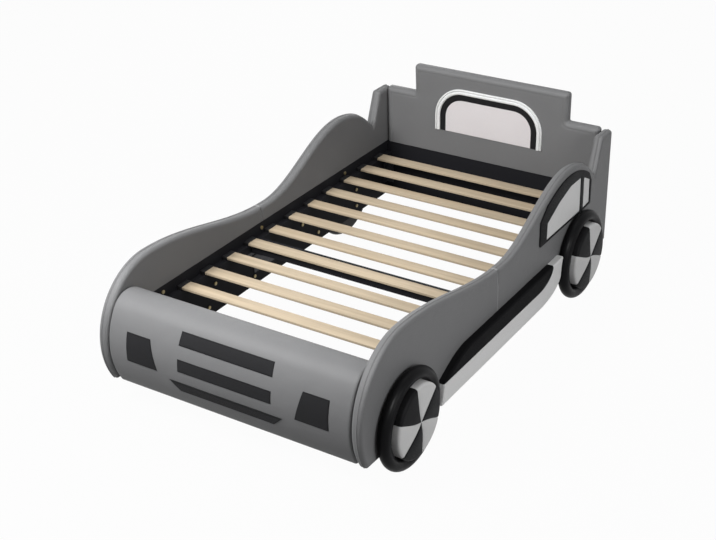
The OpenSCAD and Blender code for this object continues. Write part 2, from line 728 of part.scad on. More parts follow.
// One seam runs from the middle to past the rim and swirls more the nearer it is to the middle
seam_steps = 6;
swirl_power = 1.7;
function seam_angle(share) = swirl * pow(1 - min(1, share), swirl_power);
function seam_line(a) = [for (i = [1:seam_steps + 1])
    let(s = i / seam_steps, t = a + seam_angle(s)) s * hub_r * [cos(t), sin(t)]];
module hub_segments(end, first) {
    at_wheel(end) for (k = [first:2:segment_count - 1]) {
        a = segment_turn + k * 360 / segment_count;
        b = a + 360 / segment_count;
        far = hub_r * 2;
        intersection() {
            hub_form();
            linear_extrude(hub_h + over) polygon(concat([[0, 0]], seam_line(a),
                [far * [cos(a), sin(a)], far * [cos(b), sin(b)]],
                [for (i = [seam_steps:-1:0]) seam_line(b)[i]]));
        }
    }
}
module hub_grey(end) { color([0.66, 0.66, 0.66]) hub_segments(end, 0); }
module hub_black(end) { color([0.12, 0.12, 0.12]) hub_segments(end, 1); }

// Slatted base
bay_l = y_head - y_bay;
slat_pitch = (bay_l - slat_back - slat_front) / (slat_count - 1);
cap_gap = 0.5;
cap_x = rail_x - cap_gap;
slat_half = cap_x - cap_wall;
function slat_y(i) = y_head - slat_back - i * slat_pitch;
module slat_blank(y, x0, x1, wall) {
    box([x0, y - slat_w / 2 - wall, slat_z - slat_t - wall], [x1, y + slat_w / 2 + wall, slat_z + wall]);
}
module slats() {
    color([0.82, 0.74, 0.62])
        for (i = [0:slat_count - 1]) slat_blank(slat_y(i), -slat_half, slat_half, 0);
}
module slat_caps() {
    color([0.1, 0.1, 0.1])
        for (s = sides, i = [0:slat_count - 1]) on_side(s) difference() {
            slat_blank(slat_y(i), cap_x - cap_l, cap_x, cap_wall);
            slat_blank(slat_y(i), cap_x - cap_l - over, slat_half, 0);
        }
}
module beam_piece(x0, x1, z0, z1) {
    box([x0, beam_y - beam_w / 2, z0], [x1, beam_y + beam_w / 2, z1]);
}
module cross_beam() {
    end = rail_x - ledge_w;
    color([0.08, 0.08, 0.08]) beam_piece(-end, end, beam_low_z, beam_z);
}
// A beam bracket: one leg under the ledge and the beam, one down the rail
module beam_brackets() {
    color([0.16, 0.16, 0.16]) for (s = sides) on_side(s) difference() {
        union() {
            beam_piece(rail_x - beam_reach, rail_x, beam_low_z - steel_t, beam_low_z);
            beam_piece(rail_x - steel_t, rail_x, beam_low_z - bracket_leg, beam_low_z);
        }
        screw_bores(rail_x - steel_t - over, rail_x + over);
    }
}

// Steel fittings between the rails
module corner_bracket(y, way) {
    ys = [y, y + way * bracket_leg];
    yt = [y, y + way * steel_t];
    difference() {
        union() {
            box([rail_x - steel_t, min(ys), steel_z], [rail_x, max(ys), steel_z + bracket_h]);
            box([rail_x - bracket_leg, min(yt), steel_z], [rail_x, max(yt), steel_z + bracket_h]);
        }
        screw_bores(rail_x - steel_t - over, rail_x + over);
        end_screw_bores(min(yt) - over, max(yt) + over);
    }
}
module corner_brackets() {
    color([0.16, 0.16, 0.16]) for (s = sides) on_side(s) {
        corner_bracket(y_foot_face, 1);
        corner_bracket(y_head_face, -1);
    }
}
module joining_plates() {
    color([0.16, 0.16, 0.16]) for (s = sides) on_side(s) difference() {
        box([rail_x - steel_t, y_seam - plate_l / 2, steel_z],
            [rail_x, y_seam + plate_l / 2, steel_z + plate_h]);
        screw_bores(rail_x - steel_t - over, rail_x + over);
    }
}
module bracket_screws() {
    color([0.16, 0.16, 0.16]) for (s = sides) on_side(s) {
        for (p = side_screw_places)
            translate([rail_x - steel_t, p[0], p[1]]) rotate([0, 90, 0]) screw();
        for (p = end_screw_places) {
            translate([p[0], y_foot_face + steel_t, p[1]]) rotate([90, 0, 0]) screw();
            translate([p[0], y_head_face - steel_t, p[1]]) rotate([-90, 0, 0]) screw();
        }
    }
}
module rail_bolts() {
    color([0.75, 0.6, 0.3]) for (s = sides) on_side(s)
        bolts(board_x + board_t - steel_t, rail_bolt_places);
}
module wheel_bolts() {
    color([0.75, 0.6, 0.3]) for (s = sides) on_side(s)
        bolts(half_body + bolt_bite, wheel_bolt_places);
}
module sill_bolts() {
    color([0.75, 0.6, 0.3]) for (s = sides) on_side(s)
        bolts(half_body + bolt_bite, sill_bolt_places);
}

headboard_pad();
headboard_board();
window_border();
window_band();
window_pane();
footboard_pad();
footboard_formers();
grille_patches();
headlamp_patches();
on_side("left") side_front_pad();  // side_front_pad_left
on_side("right") side_front_pad();  // side_front_pad_right
on_side("left") side_rear_pad();  // side_rear_pad_left
on_side("right") side_rear_pad();  // side_rear_pad_right
on_side("left") side_front_board();  // side_front_board_left
on_side("right") side_front_board();  // side_front_board_right
on_side("left") side_rear_board();  // side_rear_board_left
on_side("right") side_rear_board();  // side_rear_board_right
on_side("left") sill_pad();  // sill_pad_left
on_side("right") sill_pad();  // sill_pad_right
on_side("left") sill_insert();  // sill_insert_left
on_side("right") sill_insert();  // sill_insert_right
on_side("left") side_window_frame();  // side_window_frame_left
on_side("right") side_window_frame();  // side_window_frame_right
on_side("left") side_window_panes();  // side_window_panes_left
on_side("right") side_window_panes();  // side_window_panes_right
on_side("left") wheel_disc("front");  // wheel_disc_front_left
on_side("right") wheel_disc("front");  // wheel_disc_front_right
on_side("left") wheel_disc("rear");  // wheel_disc_rear_left
on_side("right") wheel_disc("rear");  // wheel_disc_rear_right
on_side("left") tyre("front");  // tyre_front_left
on_side("right") tyre("front");  // tyre_front_right
on_side("left") tyre("rear");  // tyre_rear_left
on_side("right") tyre("rear");  // tyre_rear_right
on_side("left") hub_grey("front");  // hub_grey_front_left
on_side("right") hub_grey("front");  // hub_grey_front_right
on_side("left") hub_grey("rear");  // hub_grey_rear_left
on_side("right") hub_grey("rear");  // hub_grey_rear_right
on_side("left") hub_black("front");  // hub_black_front_left
on_side("right") hub_black("front");  // hub_black_front_right
on_side("left") hub_black("rear");  // hub_black_rear_left
on_side("right") hub_black("rear");  // hub_black_rear_right
on_side("left") inner_rail();  // inner_rail_left
on_side("right") inner_rail();  // inner_rail_right
on_side("left") slat_ledge();  // slat_ledge_left
on_side("right") slat_ledge();  // slat_ledge_right
head_rail();
foot_rail();
cross_beam();
beam_brackets();
slats();
slat_caps();
corner_brackets();
joining_plates();
bracket_screws();
rail_bolts();
wheel_bolts();
sill_bolts();
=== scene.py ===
"""Looks of the children's car bed: upholstery, slats, fittings and a plain studio round the frame."""

from math import asin, cos, exp, pi, radians, sin, sqrt, tan

import bmesh
import bpy
import numpy as np
from bpy.props import FloatProperty, FloatVectorProperty, IntProperty, PointerProperty
from mathutils import Matrix, Vector


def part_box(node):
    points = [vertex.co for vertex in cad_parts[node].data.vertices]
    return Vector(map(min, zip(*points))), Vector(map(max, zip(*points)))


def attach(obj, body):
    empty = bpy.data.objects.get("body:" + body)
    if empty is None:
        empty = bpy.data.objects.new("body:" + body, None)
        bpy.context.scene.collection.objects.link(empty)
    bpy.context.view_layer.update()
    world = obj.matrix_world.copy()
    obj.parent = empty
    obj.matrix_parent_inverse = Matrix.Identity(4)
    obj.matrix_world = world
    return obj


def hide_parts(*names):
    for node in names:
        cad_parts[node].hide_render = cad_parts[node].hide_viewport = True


bl_info = {
    "name": "Children's Car Bed",
    "version": (1, 0, 0),
    "blender": (4, 5, 0),
    "location": "3D View > Sidebar > Car Bed",
    "description": "Dresses the car bed's frame in upholstery, wood and fittings",
    "category": "Object",
}

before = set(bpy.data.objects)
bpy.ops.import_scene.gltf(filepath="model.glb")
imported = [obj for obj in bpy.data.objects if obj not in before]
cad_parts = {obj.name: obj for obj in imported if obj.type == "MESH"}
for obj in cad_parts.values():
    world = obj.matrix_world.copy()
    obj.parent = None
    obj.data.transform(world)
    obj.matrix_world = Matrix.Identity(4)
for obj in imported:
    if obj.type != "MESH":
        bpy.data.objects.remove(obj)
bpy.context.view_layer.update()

# Places that the frame gives. X runs across, Y from the nose (-) to the headboard (+), Z up
SIDE_LOW, SIDE_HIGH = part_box("side_front_pad_right")
REAR_LOW, REAR_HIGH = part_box("side_rear_pad_right")
HEAD_LOW, HEAD_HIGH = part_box("headboard_pad")
RAIL_LOW, RAIL_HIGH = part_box("inner_rail_right")
FOOT_RAIL_LOW, FOOT_RAIL_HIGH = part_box("foot_rail")
HEAD_RAIL_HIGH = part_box("head_rail")[1]
NOSE_Y, REAR_Y, SEAM_Y = SIDE_LOW.y, REAR_HIGH.y, REAR_LOW.y
LIFT_Z, BAY_X, BODY_X = SIDE_LOW.z, SIDE_LOW.x, SIDE_HIGH.x
SIDES = {"right": 1, "left": -1}
ENDS = ("front", "rear")

# Gap between pieces that touch, and distances below which points count as one or as on a line
GAP = 0.0003
NEAR = 1e-5
EXACT = 1e-6


def length(name, description, default):
    """A size in metres that a user may change."""
    return FloatProperty(name=name, description=description, default=default, min=0, unit="LENGTH")


def angle(name, description, default):
    """An angle, given in degrees, that a user may change."""
    return FloatProperty(name=name, description=description, default=radians(default), subtype="ANGLE")


def amount(name, description, default):
    """A power or strength that a user may change."""
    return FloatProperty(name=name, description=description, default=default, min=0)


def colour(name, description, default):
    """A colour that a user may change, in linear light."""
    return FloatVectorProperty(name=name, description=description, default=default, min=0, max=1,
                               subtype="COLOR")


class CarBedOutline(bpy.types.PropertyGroup):
    """Sizes of the car's outline, as in the frame."""
    nose_z: length("Nose height", "Height of the foremost point of the nose", 0.304)
    nose_tuck: length("Nose tuck", "How far the lower nose is tucked back", 0.048)
    hood_run: length("Hood run", "From the nose to the crest of the hood", 0.320)
    hood_z: length("Hood height", "Height of the crest of the hood", 0.628)
    dip_run: length("Dip run", "From the nose to the lowest point of the door dip", 1.182)
    dip_z: length("Dip height", "Height of the door dip", 0.503)
    roof_z: length("Roof height", "Height of the crest of the roof", 0.704)
    roof_back: length("Roof back", "From the rear edge to the crest of the roof", 0.498)
    roof_run: length("Roof run", "Length of the curve behind the roof crest", 0.368)
    roof_drop: length("Roof drop", "Height of the curve behind the roof crest", 0.328)
    fin_foot: length("Fin foot", "From the rear edge to the foot of the tail fin", 0.186)
    fin_top: length("Fin top", "Length of the level top of the tail fin", 0.120)
    fin_z: length("Fin height", "Height of the tail fin", 0.728)
    shoulder_z: length("Shoulder height", "Height of the headboard's shoulders", 0.739)
    crown_w: length("Crown width", "Width of the raised middle of the headboard", 0.874)
    foot_recess: length("Footboard recess", "How far the footboard lies behind the nose", 0.005)
    roll_start: angle("Roll start", "Angle up the hood where the roll begins", 33)
    roll_r: length("Roll radius", "Radius of the footboard's top roll", 0.107)
    foot_foam: length("Footboard padding", "Thickness of the footboard's padded shell", 0.025)


class CarBedTrim(bpy.types.PropertyGroup):
    """Sizes of the window, the patches, the sills and the side windows."""
    arch_w: length("Window width", "Width of the arched window", 0.612)
    arch_z: length("Window base", "Height of the window's lower edge", 0.562)
    arch_h: length("Window height", "Height of the arch", 0.242)
    arch_r: length("Window corner", "Radius of the arch's upper corners", 0.162)
    border_w: length("Border width", "Width of the padded border", 0.030)
    band_w: length("Band width", "Width of the dark band", 0.032)
    lamp_z: length("Lamp base", "Height of the headlamps' lower edges", 0.277)
    lamp_h: length("Lamp height", "Height of the headlamps", 0.132)
    lamp_out: length("Lamp reach", "From the middle to the headlamps' outer edges", 0.504)
    lamp_low_w: length("Lamp lower width", "Width of a headlamp along its lower edge", 0.159)
    lamp_top_w: length("Lamp upper width", "Width of a headlamp along its upper edge", 0.124)
    grille_z: length("Grille base", "Height of the lowest edge of the grille bars", 0.208)
    grille_h: length("Grille height", "Height over the three grille bars", 0.269)
    grille_w: length("Grille width", "Width of the middle grille bar", 0.466)
    sill_gap: length("Sill gap", "Gap between the front wheel and the sill", 0.038)
    sill_rear_gap: length("Sill rear gap", "Gap between the sill and the rear wheel", 0.008)
    sill_rim_r: length("Sill rim", "Radius of the sill's padded edges", 0.009)
    sill_hem_r: length("Sill hem", "Radius of the joint between a sill and its insert", 0.0035)
    sill_kick: length("Sill kick", "Length of the curve under the sill's rear end", 0.220)
    insert_slope: length("Insert slope", "Length of the insert's sloping front end", 0.240)
    insert_z: length("Insert base", "Height of the insert's lower edge", 0.223)
    insert_back: length("Insert back", "From the sill's rear end to the insert's tip", 0.092)
    insert_curve: length("Insert curve", "Length of the curve at the insert's rear end", 0.146)
    win_back: length("Side window back", "From the rear edge to the window's rear end", 0.239)
    win_l: length("Side window length", "Length of the side window", 0.560)
    win_z: length("Side window base", "Height of the side window's lower edge", 0.430)
    win_margin: length("Side window margin", "From the roof line down to the window", 0.030)
    patch_t: length("Patch thickness", "Thickness of the patches on the nose", 0.0018)


class CarBedWheels(bpy.types.PropertyGroup):
    """Sizes of the padded wheels and of the slats."""
    hub_r: length("Hub radius", "Radius of a hub", 0.163)
    hub_crown: length("Hub crown", "How much a hub's face bulges", 0.006)
    hub_edge_r: length("Hub rim", "Radius of a hub's padded rim", 0.012)
    puff: length("Hub puff", "How far a segment swells between its seams", 0.003)
    groove: length("Hub groove", "Depth of the grooves along a hub's seams", 0.0024)
    groove_w: length("Hub groove width", "Half width of those grooves", 0.0035)
    swirl: angle("Swirl", "How far the hub's seams swirl", 10)
    turn: angle("Turn", "Turn of the segment pattern", 37)
    segments: IntProperty(name="Segments", description="Leather segments on a hub", default=6, min=2)
    slats: IntProperty(name="Slats", description="Number of slats", default=12, min=2)
    slat_w: length("Slat width", "Width of a slat", 0.064)
    cap_l: length("Cap length", "Length of the cap on each slat end", 0.027)
    cap_wall: length("Cap wall", "Wall of the caps", 0.0025)


class CarBedUpholstery(bpy.types.PropertyGroup):
    """Sizes and colours of the upholstery and the other finishes."""
    rim_r: length("Side rim", "Radius of the side panels' inner padded edges", 0.020)
    outer_rim_r: length("Outer rim", "Radius of the side panels' outer padded edges", 0.015)
    head_rim_r: length("Headboard rim", "Radius of the headboard's padded edges", 0.024)
    foot_rim_r: length("Footboard rim", "Radius of the footboard's padded ends", 0.014)
    corner_r: length("Corner", "Radius of the outline's corners", 0.018)
    notch_r: length("Notch", "Radius of the headboard's inner corners", 0.006)
    head_crease: length("Headboard crease", "From the headboard's rim to its crease", 0.031)
    tuft: length("Pull", "How far the leather is pulled in at the headboard's inner corners", 0.006)
    tuft_w: length("Pull width", "How far that pull reaches", 0.028)
    hem_r: length("Hem", "Radius of the stapled lower edges and of the joint between panels", 0.0018)
    crease: length("Crease", "Depth of the sewn creases", 0.003)
    boxing: length("Boxing", "From a side panel's outer face to the seam of its edge strip", 0.0198)
    grey: colour("Grey leather", "Panels, headboard and footboard", (0.150, 0.151, 0.154))
    black: colour("Black leather", "Wheels, inserts and patches", (0.012, 0.012, 0.013))
    silver: colour("Light grey leather", "Hubs", (0.60, 0.60, 0.60))
    sill: colour("Sill leather", "Sills and side panes", (0.73, 0.73, 0.73))
    white: colour("White leather", "Border of the rear window", (0.74, 0.75, 0.75))
    pane: colour("Pale leather", "Pane of the rear window", (0.66, 0.63, 0.64))
    slat: colour("Slat wood", "Lacquered slats", (0.43, 0.352, 0.252))
    black_board: colour("Black board", "Rails and ledges round the bay", (0.012, 0.012, 0.014))


class CarBedStudio(bpy.types.PropertyGroup):
    """Levels of the studio's lights, and the camera of the photograph's view."""
    key: amount("Key light", "Power of the key light in watts", 208)
    sheen: amount("Sheen light", "Power of the low light in front", 22)
    top: amount("Top light", "Power of the light from above", 46)
    side: amount("Side light", "Power of the light from the right", 128)
    back: amount("Back light", "Power of the light from behind", 55)
    gleam: amount("Gleam light", "Power of the light seen only in reflections", 450)
    sky: amount("Sky", "Strength of the even light all round", 0.10)
    glow: amount("Floor glow", "Strength of the white that the camera sees on the floor", 1.04)
    glow_share: amount("Floor share", "Share of that white over the floor's shadows", 0.93)
    camera_turn: angle("Camera turn", "Turn of the camera from straight ahead to the right", 32.9726)
    camera_tilt: angle("Camera tilt", "How far the camera looks down", 28.1341)
    camera_roll: angle("Camera roll", "Roll of the camera about its axis", -1.2709)
    focal: amount("Focal length", "Focal length of the camera, in pixels of the photograph", 1351.099)
    camera_x: FloatProperty(name="Camera X", description="Camera, to the right", default=2.9338)
    camera_y: FloatProperty(name="Camera Y", description="Camera, to the back", default=-4.6676)
    camera_z: FloatProperty(name="Camera Z", description="Camera, above the floor", default=3.2577)


# Half the floor's width and its colour under the shadows
FLOOR_HALF = 14.0
FLOOR_GREY = (0.07, 0.07, 0.07)
# Width of the photograph in pixels, and of the camera's sensor in millimetres
PHOTO_W = 716
SENSOR_W = 36.0
# Each lamp's place, the point that it looks at, its size and whether it lights surfaces directly
LAMPS = {
    "key": ((-1.15, -2.5, 3.1), (0, -0.4, 0.4), 1.3, True),
    "sheen": ((-2.4, -4.6, 2.9), (0, -1.0, 0.5), 1.0, True),
    "top": ((0.2, 1.0, 4.2), (0, 0.3, 0.3), 2.6, True),
    "side": ((5.0, -1.0, 2.0), (0, 0, 0.4), 2.4, True),
    "back": ((-3.4, 4.0, 2.0), (0, 0.4, 0.4), 2.4, True),
    "gleam": ((3.3, -3.7, 4.2), (0.7, -0.4, 0.3), 1.2, False),
}

GROUPS = {"outline": CarBedOutline, "trim": CarBedTrim, "wheels": CarBedWheels,
          "upholstery": CarBedUpholstery, "studio": CarBedStudio}


def settings(group):
    """The scene's settings of one group."""
    return getattr(bpy.context.scene, "car_bed_" + group)


# Shader graphs

class Signal:
    """A shader socket that takes part in Python arithmetic."""

    def __init__(self, graph, socket):
        self.graph = graph
        self.socket = socket

    def _math(self, operation, *values):
        return self.graph.node("ShaderNodeMath", {"operation": operation}, dict(enumerate(values)))

    def __add__(self, other):
        return self._math("ADD", self, other)

    def __sub__(self, other):
        return self._math("SUBTRACT", self, other)

    def __rsub__(self, other):
        return self._math("SUBTRACT", other, self)

    def __mul__(self, other):
        return self._math("MULTIPLY", self, other)

    def __truediv__(self, other):
        return self._math("DIVIDE", self, other)

    def __lt__(self, other):
        return self._math("LESS_THAN", self, other)

    def __abs__(self):
        return self._math("ABSOLUTE", self)

    __radd__ = __add__
    __rmul__ = __mul__

    def fraction(self):
        """The part after the decimal point."""
        return self._math("FRACT", self)

    def rounded(self):
        """The nearest whole number."""
        return self._math("ROUND", self)

    def between(self, low, high):
        """0 below low, 1 above high, smooth in between."""
        return self.graph.node("ShaderNodeMapRange", {"interpolation_type": "SMOOTHSTEP"},
                               {"Value": self, "From Min": low, "From Max": high})


class Graph:
    """A tree of shader nodes in the making."""

    def __init__(self, tree):
        self.tree = tree

    def node(self, kind, options=None, sockets=None, output=0):
        """A node of a kind with its settings made, its sockets fed and one output returned."""
        made = self.tree.nodes.new(kind)
        for key, value in (options or {}).items():
            setattr(made, key, value)
        for key, value in (sockets or {}).items():
            self.feed(made.inputs[key], value)
        return Signal(self, made.outputs[output])

    def feed(self, socket, value):
        """Links a signal to a socket or sets the socket's value."""
        if isinstance(value, Signal):
            self.tree.links.new(value.socket, socket)
        elif socket.type == "RGBA":
            socket.default_value = (*value, 1)
        else:
            socket.default_value = value

    def show_white(self, plain, end, kind, strength, share):
        """Shows white to the camera and in reflections, and the plain shader to all other rays."""
        seen = sum(self.node("ShaderNodeLightPath", output=f"Is {ray} Ray")
                   for ray in ("Camera", "Glossy", "Transmission"))
        plain = Signal(self, self.tree.nodes[plain].outputs[0])
        white = self.node(kind, {}, {"Color": (1, 1, 1), "Strength": strength})
        mixed = self.node("ShaderNodeMixShader", {}, {0: seen * share, 1: plain, 2: white})
        self.feed(self.tree.nodes[end].inputs[0], mixed)


class Finish(Graph):
    """A material in the making, with one Principled shader."""

    def __init__(self, name):
        self.material = bpy.data.materials.new(name)
        self.material.use_nodes = True
        super().__init__(self.material.node_tree)
        self.shader = self.tree.nodes["Principled BSDF"]
        self.place = self.node("ShaderNodeTexCoord", output="Object")

    def stretched(self, scale, vector=None):
        """Coordinates scaled by another factor along each axis."""
        return self.node("ShaderNodeMapping", {}, {"Vector": vector or self.place, "Scale": scale})

    def noise(self, scale, detail=2.0, roughness=0.5, vector=None):
        """Cloudy noise between 0 and 1."""
        return self.node("ShaderNodeTexNoise", {}, {
            "Vector": vector or self.place, "Scale": scale, "Detail": detail, "Roughness": roughness})

    def cells(self, scale, feature="DISTANCE_TO_EDGE"):
        """Distance in a pattern of cells."""
        return self.node("ShaderNodeTexVoronoi", {"feature": feature},
                         {"Vector": self.place, "Scale": scale}, "Distance")

    def attribute(self, name):
        """A value stored on the piece's points."""
        return self.node("ShaderNodeAttribute", {"attribute_name": name}, output="Fac")

    def mix(self, factor, a, b):
        """Two colours mixed."""
        made = self.tree.nodes.new("ShaderNodeMix")
        made.data_type = "RGBA"
        sockets = [s for s in made.inputs if s.enabled]
        self.feed(sockets[0], factor)
        self.feed(sockets[1], a)
        self.feed(sockets[2], b)
        return Signal(self, next(s for s in made.outputs if s.enabled))

    def bump(self, height, depth, under=None):
        """A bump of a depth in metres, on top of another one."""
        sockets = {"Height": height, "Distance": depth, "Strength": 1.0}
        if under:
            sockets["Normal"] = under
        return self.node("ShaderNodeBump", {}, sockets)

    def done(self, **sockets):
        """Feeds the shader's sockets, named with _ for a space, and returns the material."""
        for key, value in sockets.items():
            self.feed(self.shader.inputs[key.replace("_", " ")], value)
        return self.material


def shade(base, factor):
    """A colour made lighter or darker."""
    return tuple(min(1.0, c * factor) for c in base)


# Patterns of the leather: how many to a metre, and the height of their relief in metres
PEBBLES, PORES, WAVES, CLOUDS = 520.0, 1500.0, 5.5, 2.3
GRAIN_DEPTH, WAVE_DEPTH, STITCH_DEPTH = 0.00022, 0.006, 0.0005
# A sewn row: distance from the patch's edge, half width, pitch and the part of it that shows thread
ROW_IN, ROW_HALF, STITCH, THREAD = 0.0055, 0.0006, 0.0042, 0.72


def leather(name, base, roughness=0.48, soft=1.0, gloss=0.26, seam=0.0, stitched=False, grain=1.0):
    """Artificial leather: fine pebbled grain, soft waves over the foam, painted shade in the folds and a
    painted highlight along the hems and joints.
    """
    f = Finish(name)
    pebbles = f.cells(PEBBLES).between(0.02, 0.32)
    pores = f.noise(PORES, 1.0)
    waves = f.noise(WAVES, 2.0, 0.45)
    cloud = f.noise(CLOUDS, 3.0)
    tone = f.mix(cloud.between(0.3, 0.7), shade(base, 0.965), shade(base, 1.04))
    tone = f.mix((1 - pebbles) * 0.4, tone, shade(base, 0.62))
    # painted shade: the tone darkens in the sewn creases
    tone = f.mix(f.attribute("fold") * 0.45, tone, shade(base, 0.45))
    rough = roughness + (cloud - 0.5) * 0.08 + (1 - pebbles) * 0.10
    normal = f.bump(waves, WAVE_DEPTH * soft)
    normal = f.bump(pebbles * 0.7 + pores * 0.3, GRAIN_DEPTH * grain, normal)
    if seam:
        # painted highlight: the tone lightens along the hems and the joint between panels
        tone = f.mix(f.attribute("seam").between(0.45, 0.8) * seam, tone, shade(base, 1.9))
    if stitched:
        run, edge = f.attribute("run"), f.attribute("edge")
        row = (abs(edge - ROW_IN) < ROW_HALF) * ((run / STITCH).fraction() < THREAD)
        tone = f.mix(row * 0.55, tone, shade(base, 2.2))
        normal = f.bump(row, STITCH_DEPTH, normal)
    return f.done(Base_Color=tone, Roughness=rough, Normal=normal, Specular_IOR_Level=gloss)


def slat_wood(base):
    """Planed poplar under matt lacquer, each slat of its own tone, with the grain along X."""
    f = Finish("slat_wood")
    low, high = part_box("slats")
    wheels = settings("wheels")
    pitch = (high.y - low.y - wheels.slat_w) / (wheels.slats - 1)
    y = f.node("ShaderNodeSeparateXYZ", {}, {0: f.place}, "Y")
    index = ((y - (low.y + wheels.slat_w / 2)) / pitch).rounded()
    own = f.node("ShaderNodeTexWhiteNoise", {"noise_dimensions": "1D"}, {"W": index}, "Value")
    shifted = f.node("ShaderNodeVectorMath", {"operation": "ADD"}, {0: f.place, 1: f.node(
        "ShaderNodeCombineXYZ", {}, {0: own * 9.0, 1: index * 0.3, 2: own * 2.0})})
    streaks = f.noise(1.0, 4.0, 0.55, f.stretched((1.6, 46.0, 46.0), shifted))
    broad = f.noise(1.0, 2.0, 0.5, f.stretched((0.9, 9.0, 9.0), shifted))
    hairs = f.noise(1.0, 3.0, 0.7, f.stretched((14.0, 700.0, 700.0), shifted))
    tone = f.mix(streaks.between(0.35, 0.68), shade(base, 1.08), shade(base, 0.86))
    tone = f.mix(broad.between(0.45, 0.75) * 0.35, tone, (base[0] * 0.98, base[1] * 0.90, base[2] * 0.78))
    tone = f.mix(hairs.between(0.55, 0.8) * 0.22, tone, shade(base, 0.62))
    tone = f.mix(own * 0.25, tone, shade(base, 0.88))
    normal = f.bump(hairs * 0.5 + streaks * 0.5, 0.00025)
    return f.done(Base_Color=tone, Roughness=0.5 + hairs * 0.1, Normal=normal, Specular_IOR_Level=0.2)


def black_board(base):
    """Black laminate on board: a fine embossed grain and a little dust."""
    f = Finish("black_laminate")
    grain = f.noise(1.0, 3.0, 0.6, f.stretched((30.0, 8.0, 300.0)))
    dust = f.noise(38.0, 4.0, 0.7)
    tone = f.mix(dust.between(0.55, 0.8) * 0.25, base, shade(base, 2.4))
    return f.done(Base_Color=tone, Roughness=0.50 + dust * 0.14, Normal=f.bump(grain, 0.00012),
                  Specular_IOR_Level=0.04)


def raw_board(name, base, chip):
    """Raw board: pressed chips or plies with a rough sawn face."""
    f = Finish(name)
    chips = f.cells(chip, "F1")
    dust = f.noise(420.0, 3.0)
    tone = f.mix(chips.between(0.1, 0.6), shade(base, 1.15), shade(base, 0.72))
    tone = f.mix(dust * 0.3, tone, shade(base, 0.55))
    return f.done(Base_Color=tone, Roughness=0.8, Normal=f.bump(chips * 0.6 + dust * 0.4, 0.0004))


def moulded_plastic():
    """Black moulded plastic with a fine spark-eroded surface."""
    f = Finish("cap_plastic")
    speckle = f.noise(1400.0, 2.0)
    cloud = f.noise(30.0, 2.0)
    tone = f.mix(cloud, (0.011, 0.011, 0.012), (0.019, 0.019, 0.020))
    return f.done(Base_Color=tone, Roughness=0.42 + cloud * 0.12, Normal=f.bump(speckle, 0.00015),
                  Specular_IOR_Level=0.15)


def plated_steel(name, base, tint):
    """Plated steel with faint spangles and scuffs."""
    f = Finish(name)
    spangle = f.cells(90.0, "F1")
    scuffs = f.noise(1.0, 3.0, 0.6, f.stretched((160.0, 160.0, 900.0)))
    tone = f.mix(spangle.between(0.1, 0.7), base, tint)
    rough = 0.36 + scuffs * 0.18
    return f.done(Base_Color=tone, Metallic=1.0, Roughness=rough, Normal=f.bump(scuffs, 0.00008))


FINISHES = {}


def finish(name):
    """One of the bed's finishes, made when it is first asked for."""
    if name not in FINISHES:
        u = settings("upholstery")
        makers = {
            # seam sets the strength of the painted highlight along the hems
            "grey": lambda: leather("grey_leather", u.grey, seam=0.9),
            "black": lambda: leather("black_leather", u.black, 0.42, gloss=0.03),
            "insert": lambda: leather("insert_leather", shade(u.black, 0.65), 0.5, gloss=0.012),
            "tyre": lambda: leather("tyre_leather", shade(u.black, 0.8), 0.28, gloss=0.035, grain=0.2),
            "patch": lambda: leather("patch_leather", u.black, soft=0.8, gloss=0.07, stitched=True),
            "silver": lambda: leather("silver_leather", u.silver, 0.44),
            "sill": lambda: leather("sill_leather", u.sill, 0.44),
            "white": lambda: leather("white_leather", u.white, 0.34, 0.3),
            "pane": lambda: leather("pale_leather", u.pane, 0.36, 0.5),
            "slat": lambda: slat_wood(u.slat),
            "rail": lambda: black_board(u.black_board),
            "board": lambda: raw_board("particle_board", (0.46, 0.33, 0.19), 260.0),
            "disc": lambda: raw_board("black_plywood", (0.020, 0.019, 0.018), 120.0),
            "plastic": moulded_plastic,
            "steel": lambda: plated_steel("black_steel", (0.030, 0.030, 0.032), (0.050, 0.050, 0.054)),
            "bolt": lambda: plated_steel("yellow_zinc", (0.30, 0.24, 0.11), (0.24, 0.20, 0.12)),
        }
        FINISHES[name] = makers[name]()
    return FINISHES[name]


# Mesh helpers


def solid(name, bm):
    """An object made from a bmesh, with its faces outwards."""
    bmesh.ops.recalc_face_normals(bm, faces=bm.faces)
    mesh = bpy.data.meshes.new(name)
    bm.to_mesh(mesh)
    bm.free()
    obj = bpy.data.objects.new(name, mesh)
    bpy.context.scene.collection.objects.link(obj)
    return obj


def piece(name, bm, surface, node, sharp=35.0):
    """Makes a bmesh the piece that stands for a node: smooth but for edges sharper than an angle."""
    obj = solid(name, bm)
    obj.data.shade_smooth()
    obj.data.set_sharp_from_angle(angle=radians(sharp))
    obj.data.materials.append(finish(surface))
    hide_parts(node)
    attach(obj, "root")


def raised(bm, faces, by):
    """Extrudes faces by a vector and returns their new points."""
    made = bmesh.ops.extrude_face_region(bm, geom=faces)["geom"]
    fresh = [g for g in made if isinstance(g, bmesh.types.BMVert)]
    bmesh.ops.translate(bm, verts=fresh, vec=by)
    return fresh


def closed(bm):
    """Fills the openings of a bmesh."""
    bmesh.ops.holes_fill(bm, edges=[e for e in bm.edges if e.is_boundary], sides=0)
    return bm


def prism(points, by):
    """A closed bmesh: a flat outline and its copy moved by a vector."""
    bm = bmesh.new()
    raised(bm, [bm.faces.new([bm.verts.new(p) for p in points])], by)
    return closed(bm)


def sliced(bm, place, normal):
    """Cuts the faces of a bmesh along a plane."""
    bmesh.ops.bisect_plane(bm, geom=bm.verts[:] + bm.edges[:] + bm.faces[:], dist=EXACT,
                           plane_co=place, plane_no=normal)


def eased(bm, edges, r, segments):
    """Rounds edges of a bmesh."""
    bmesh.ops.bevel(bm, geom=edges, offset=r, segments=segments, profile=0.5, affect="EDGES",
                    material=-1)
    return bm


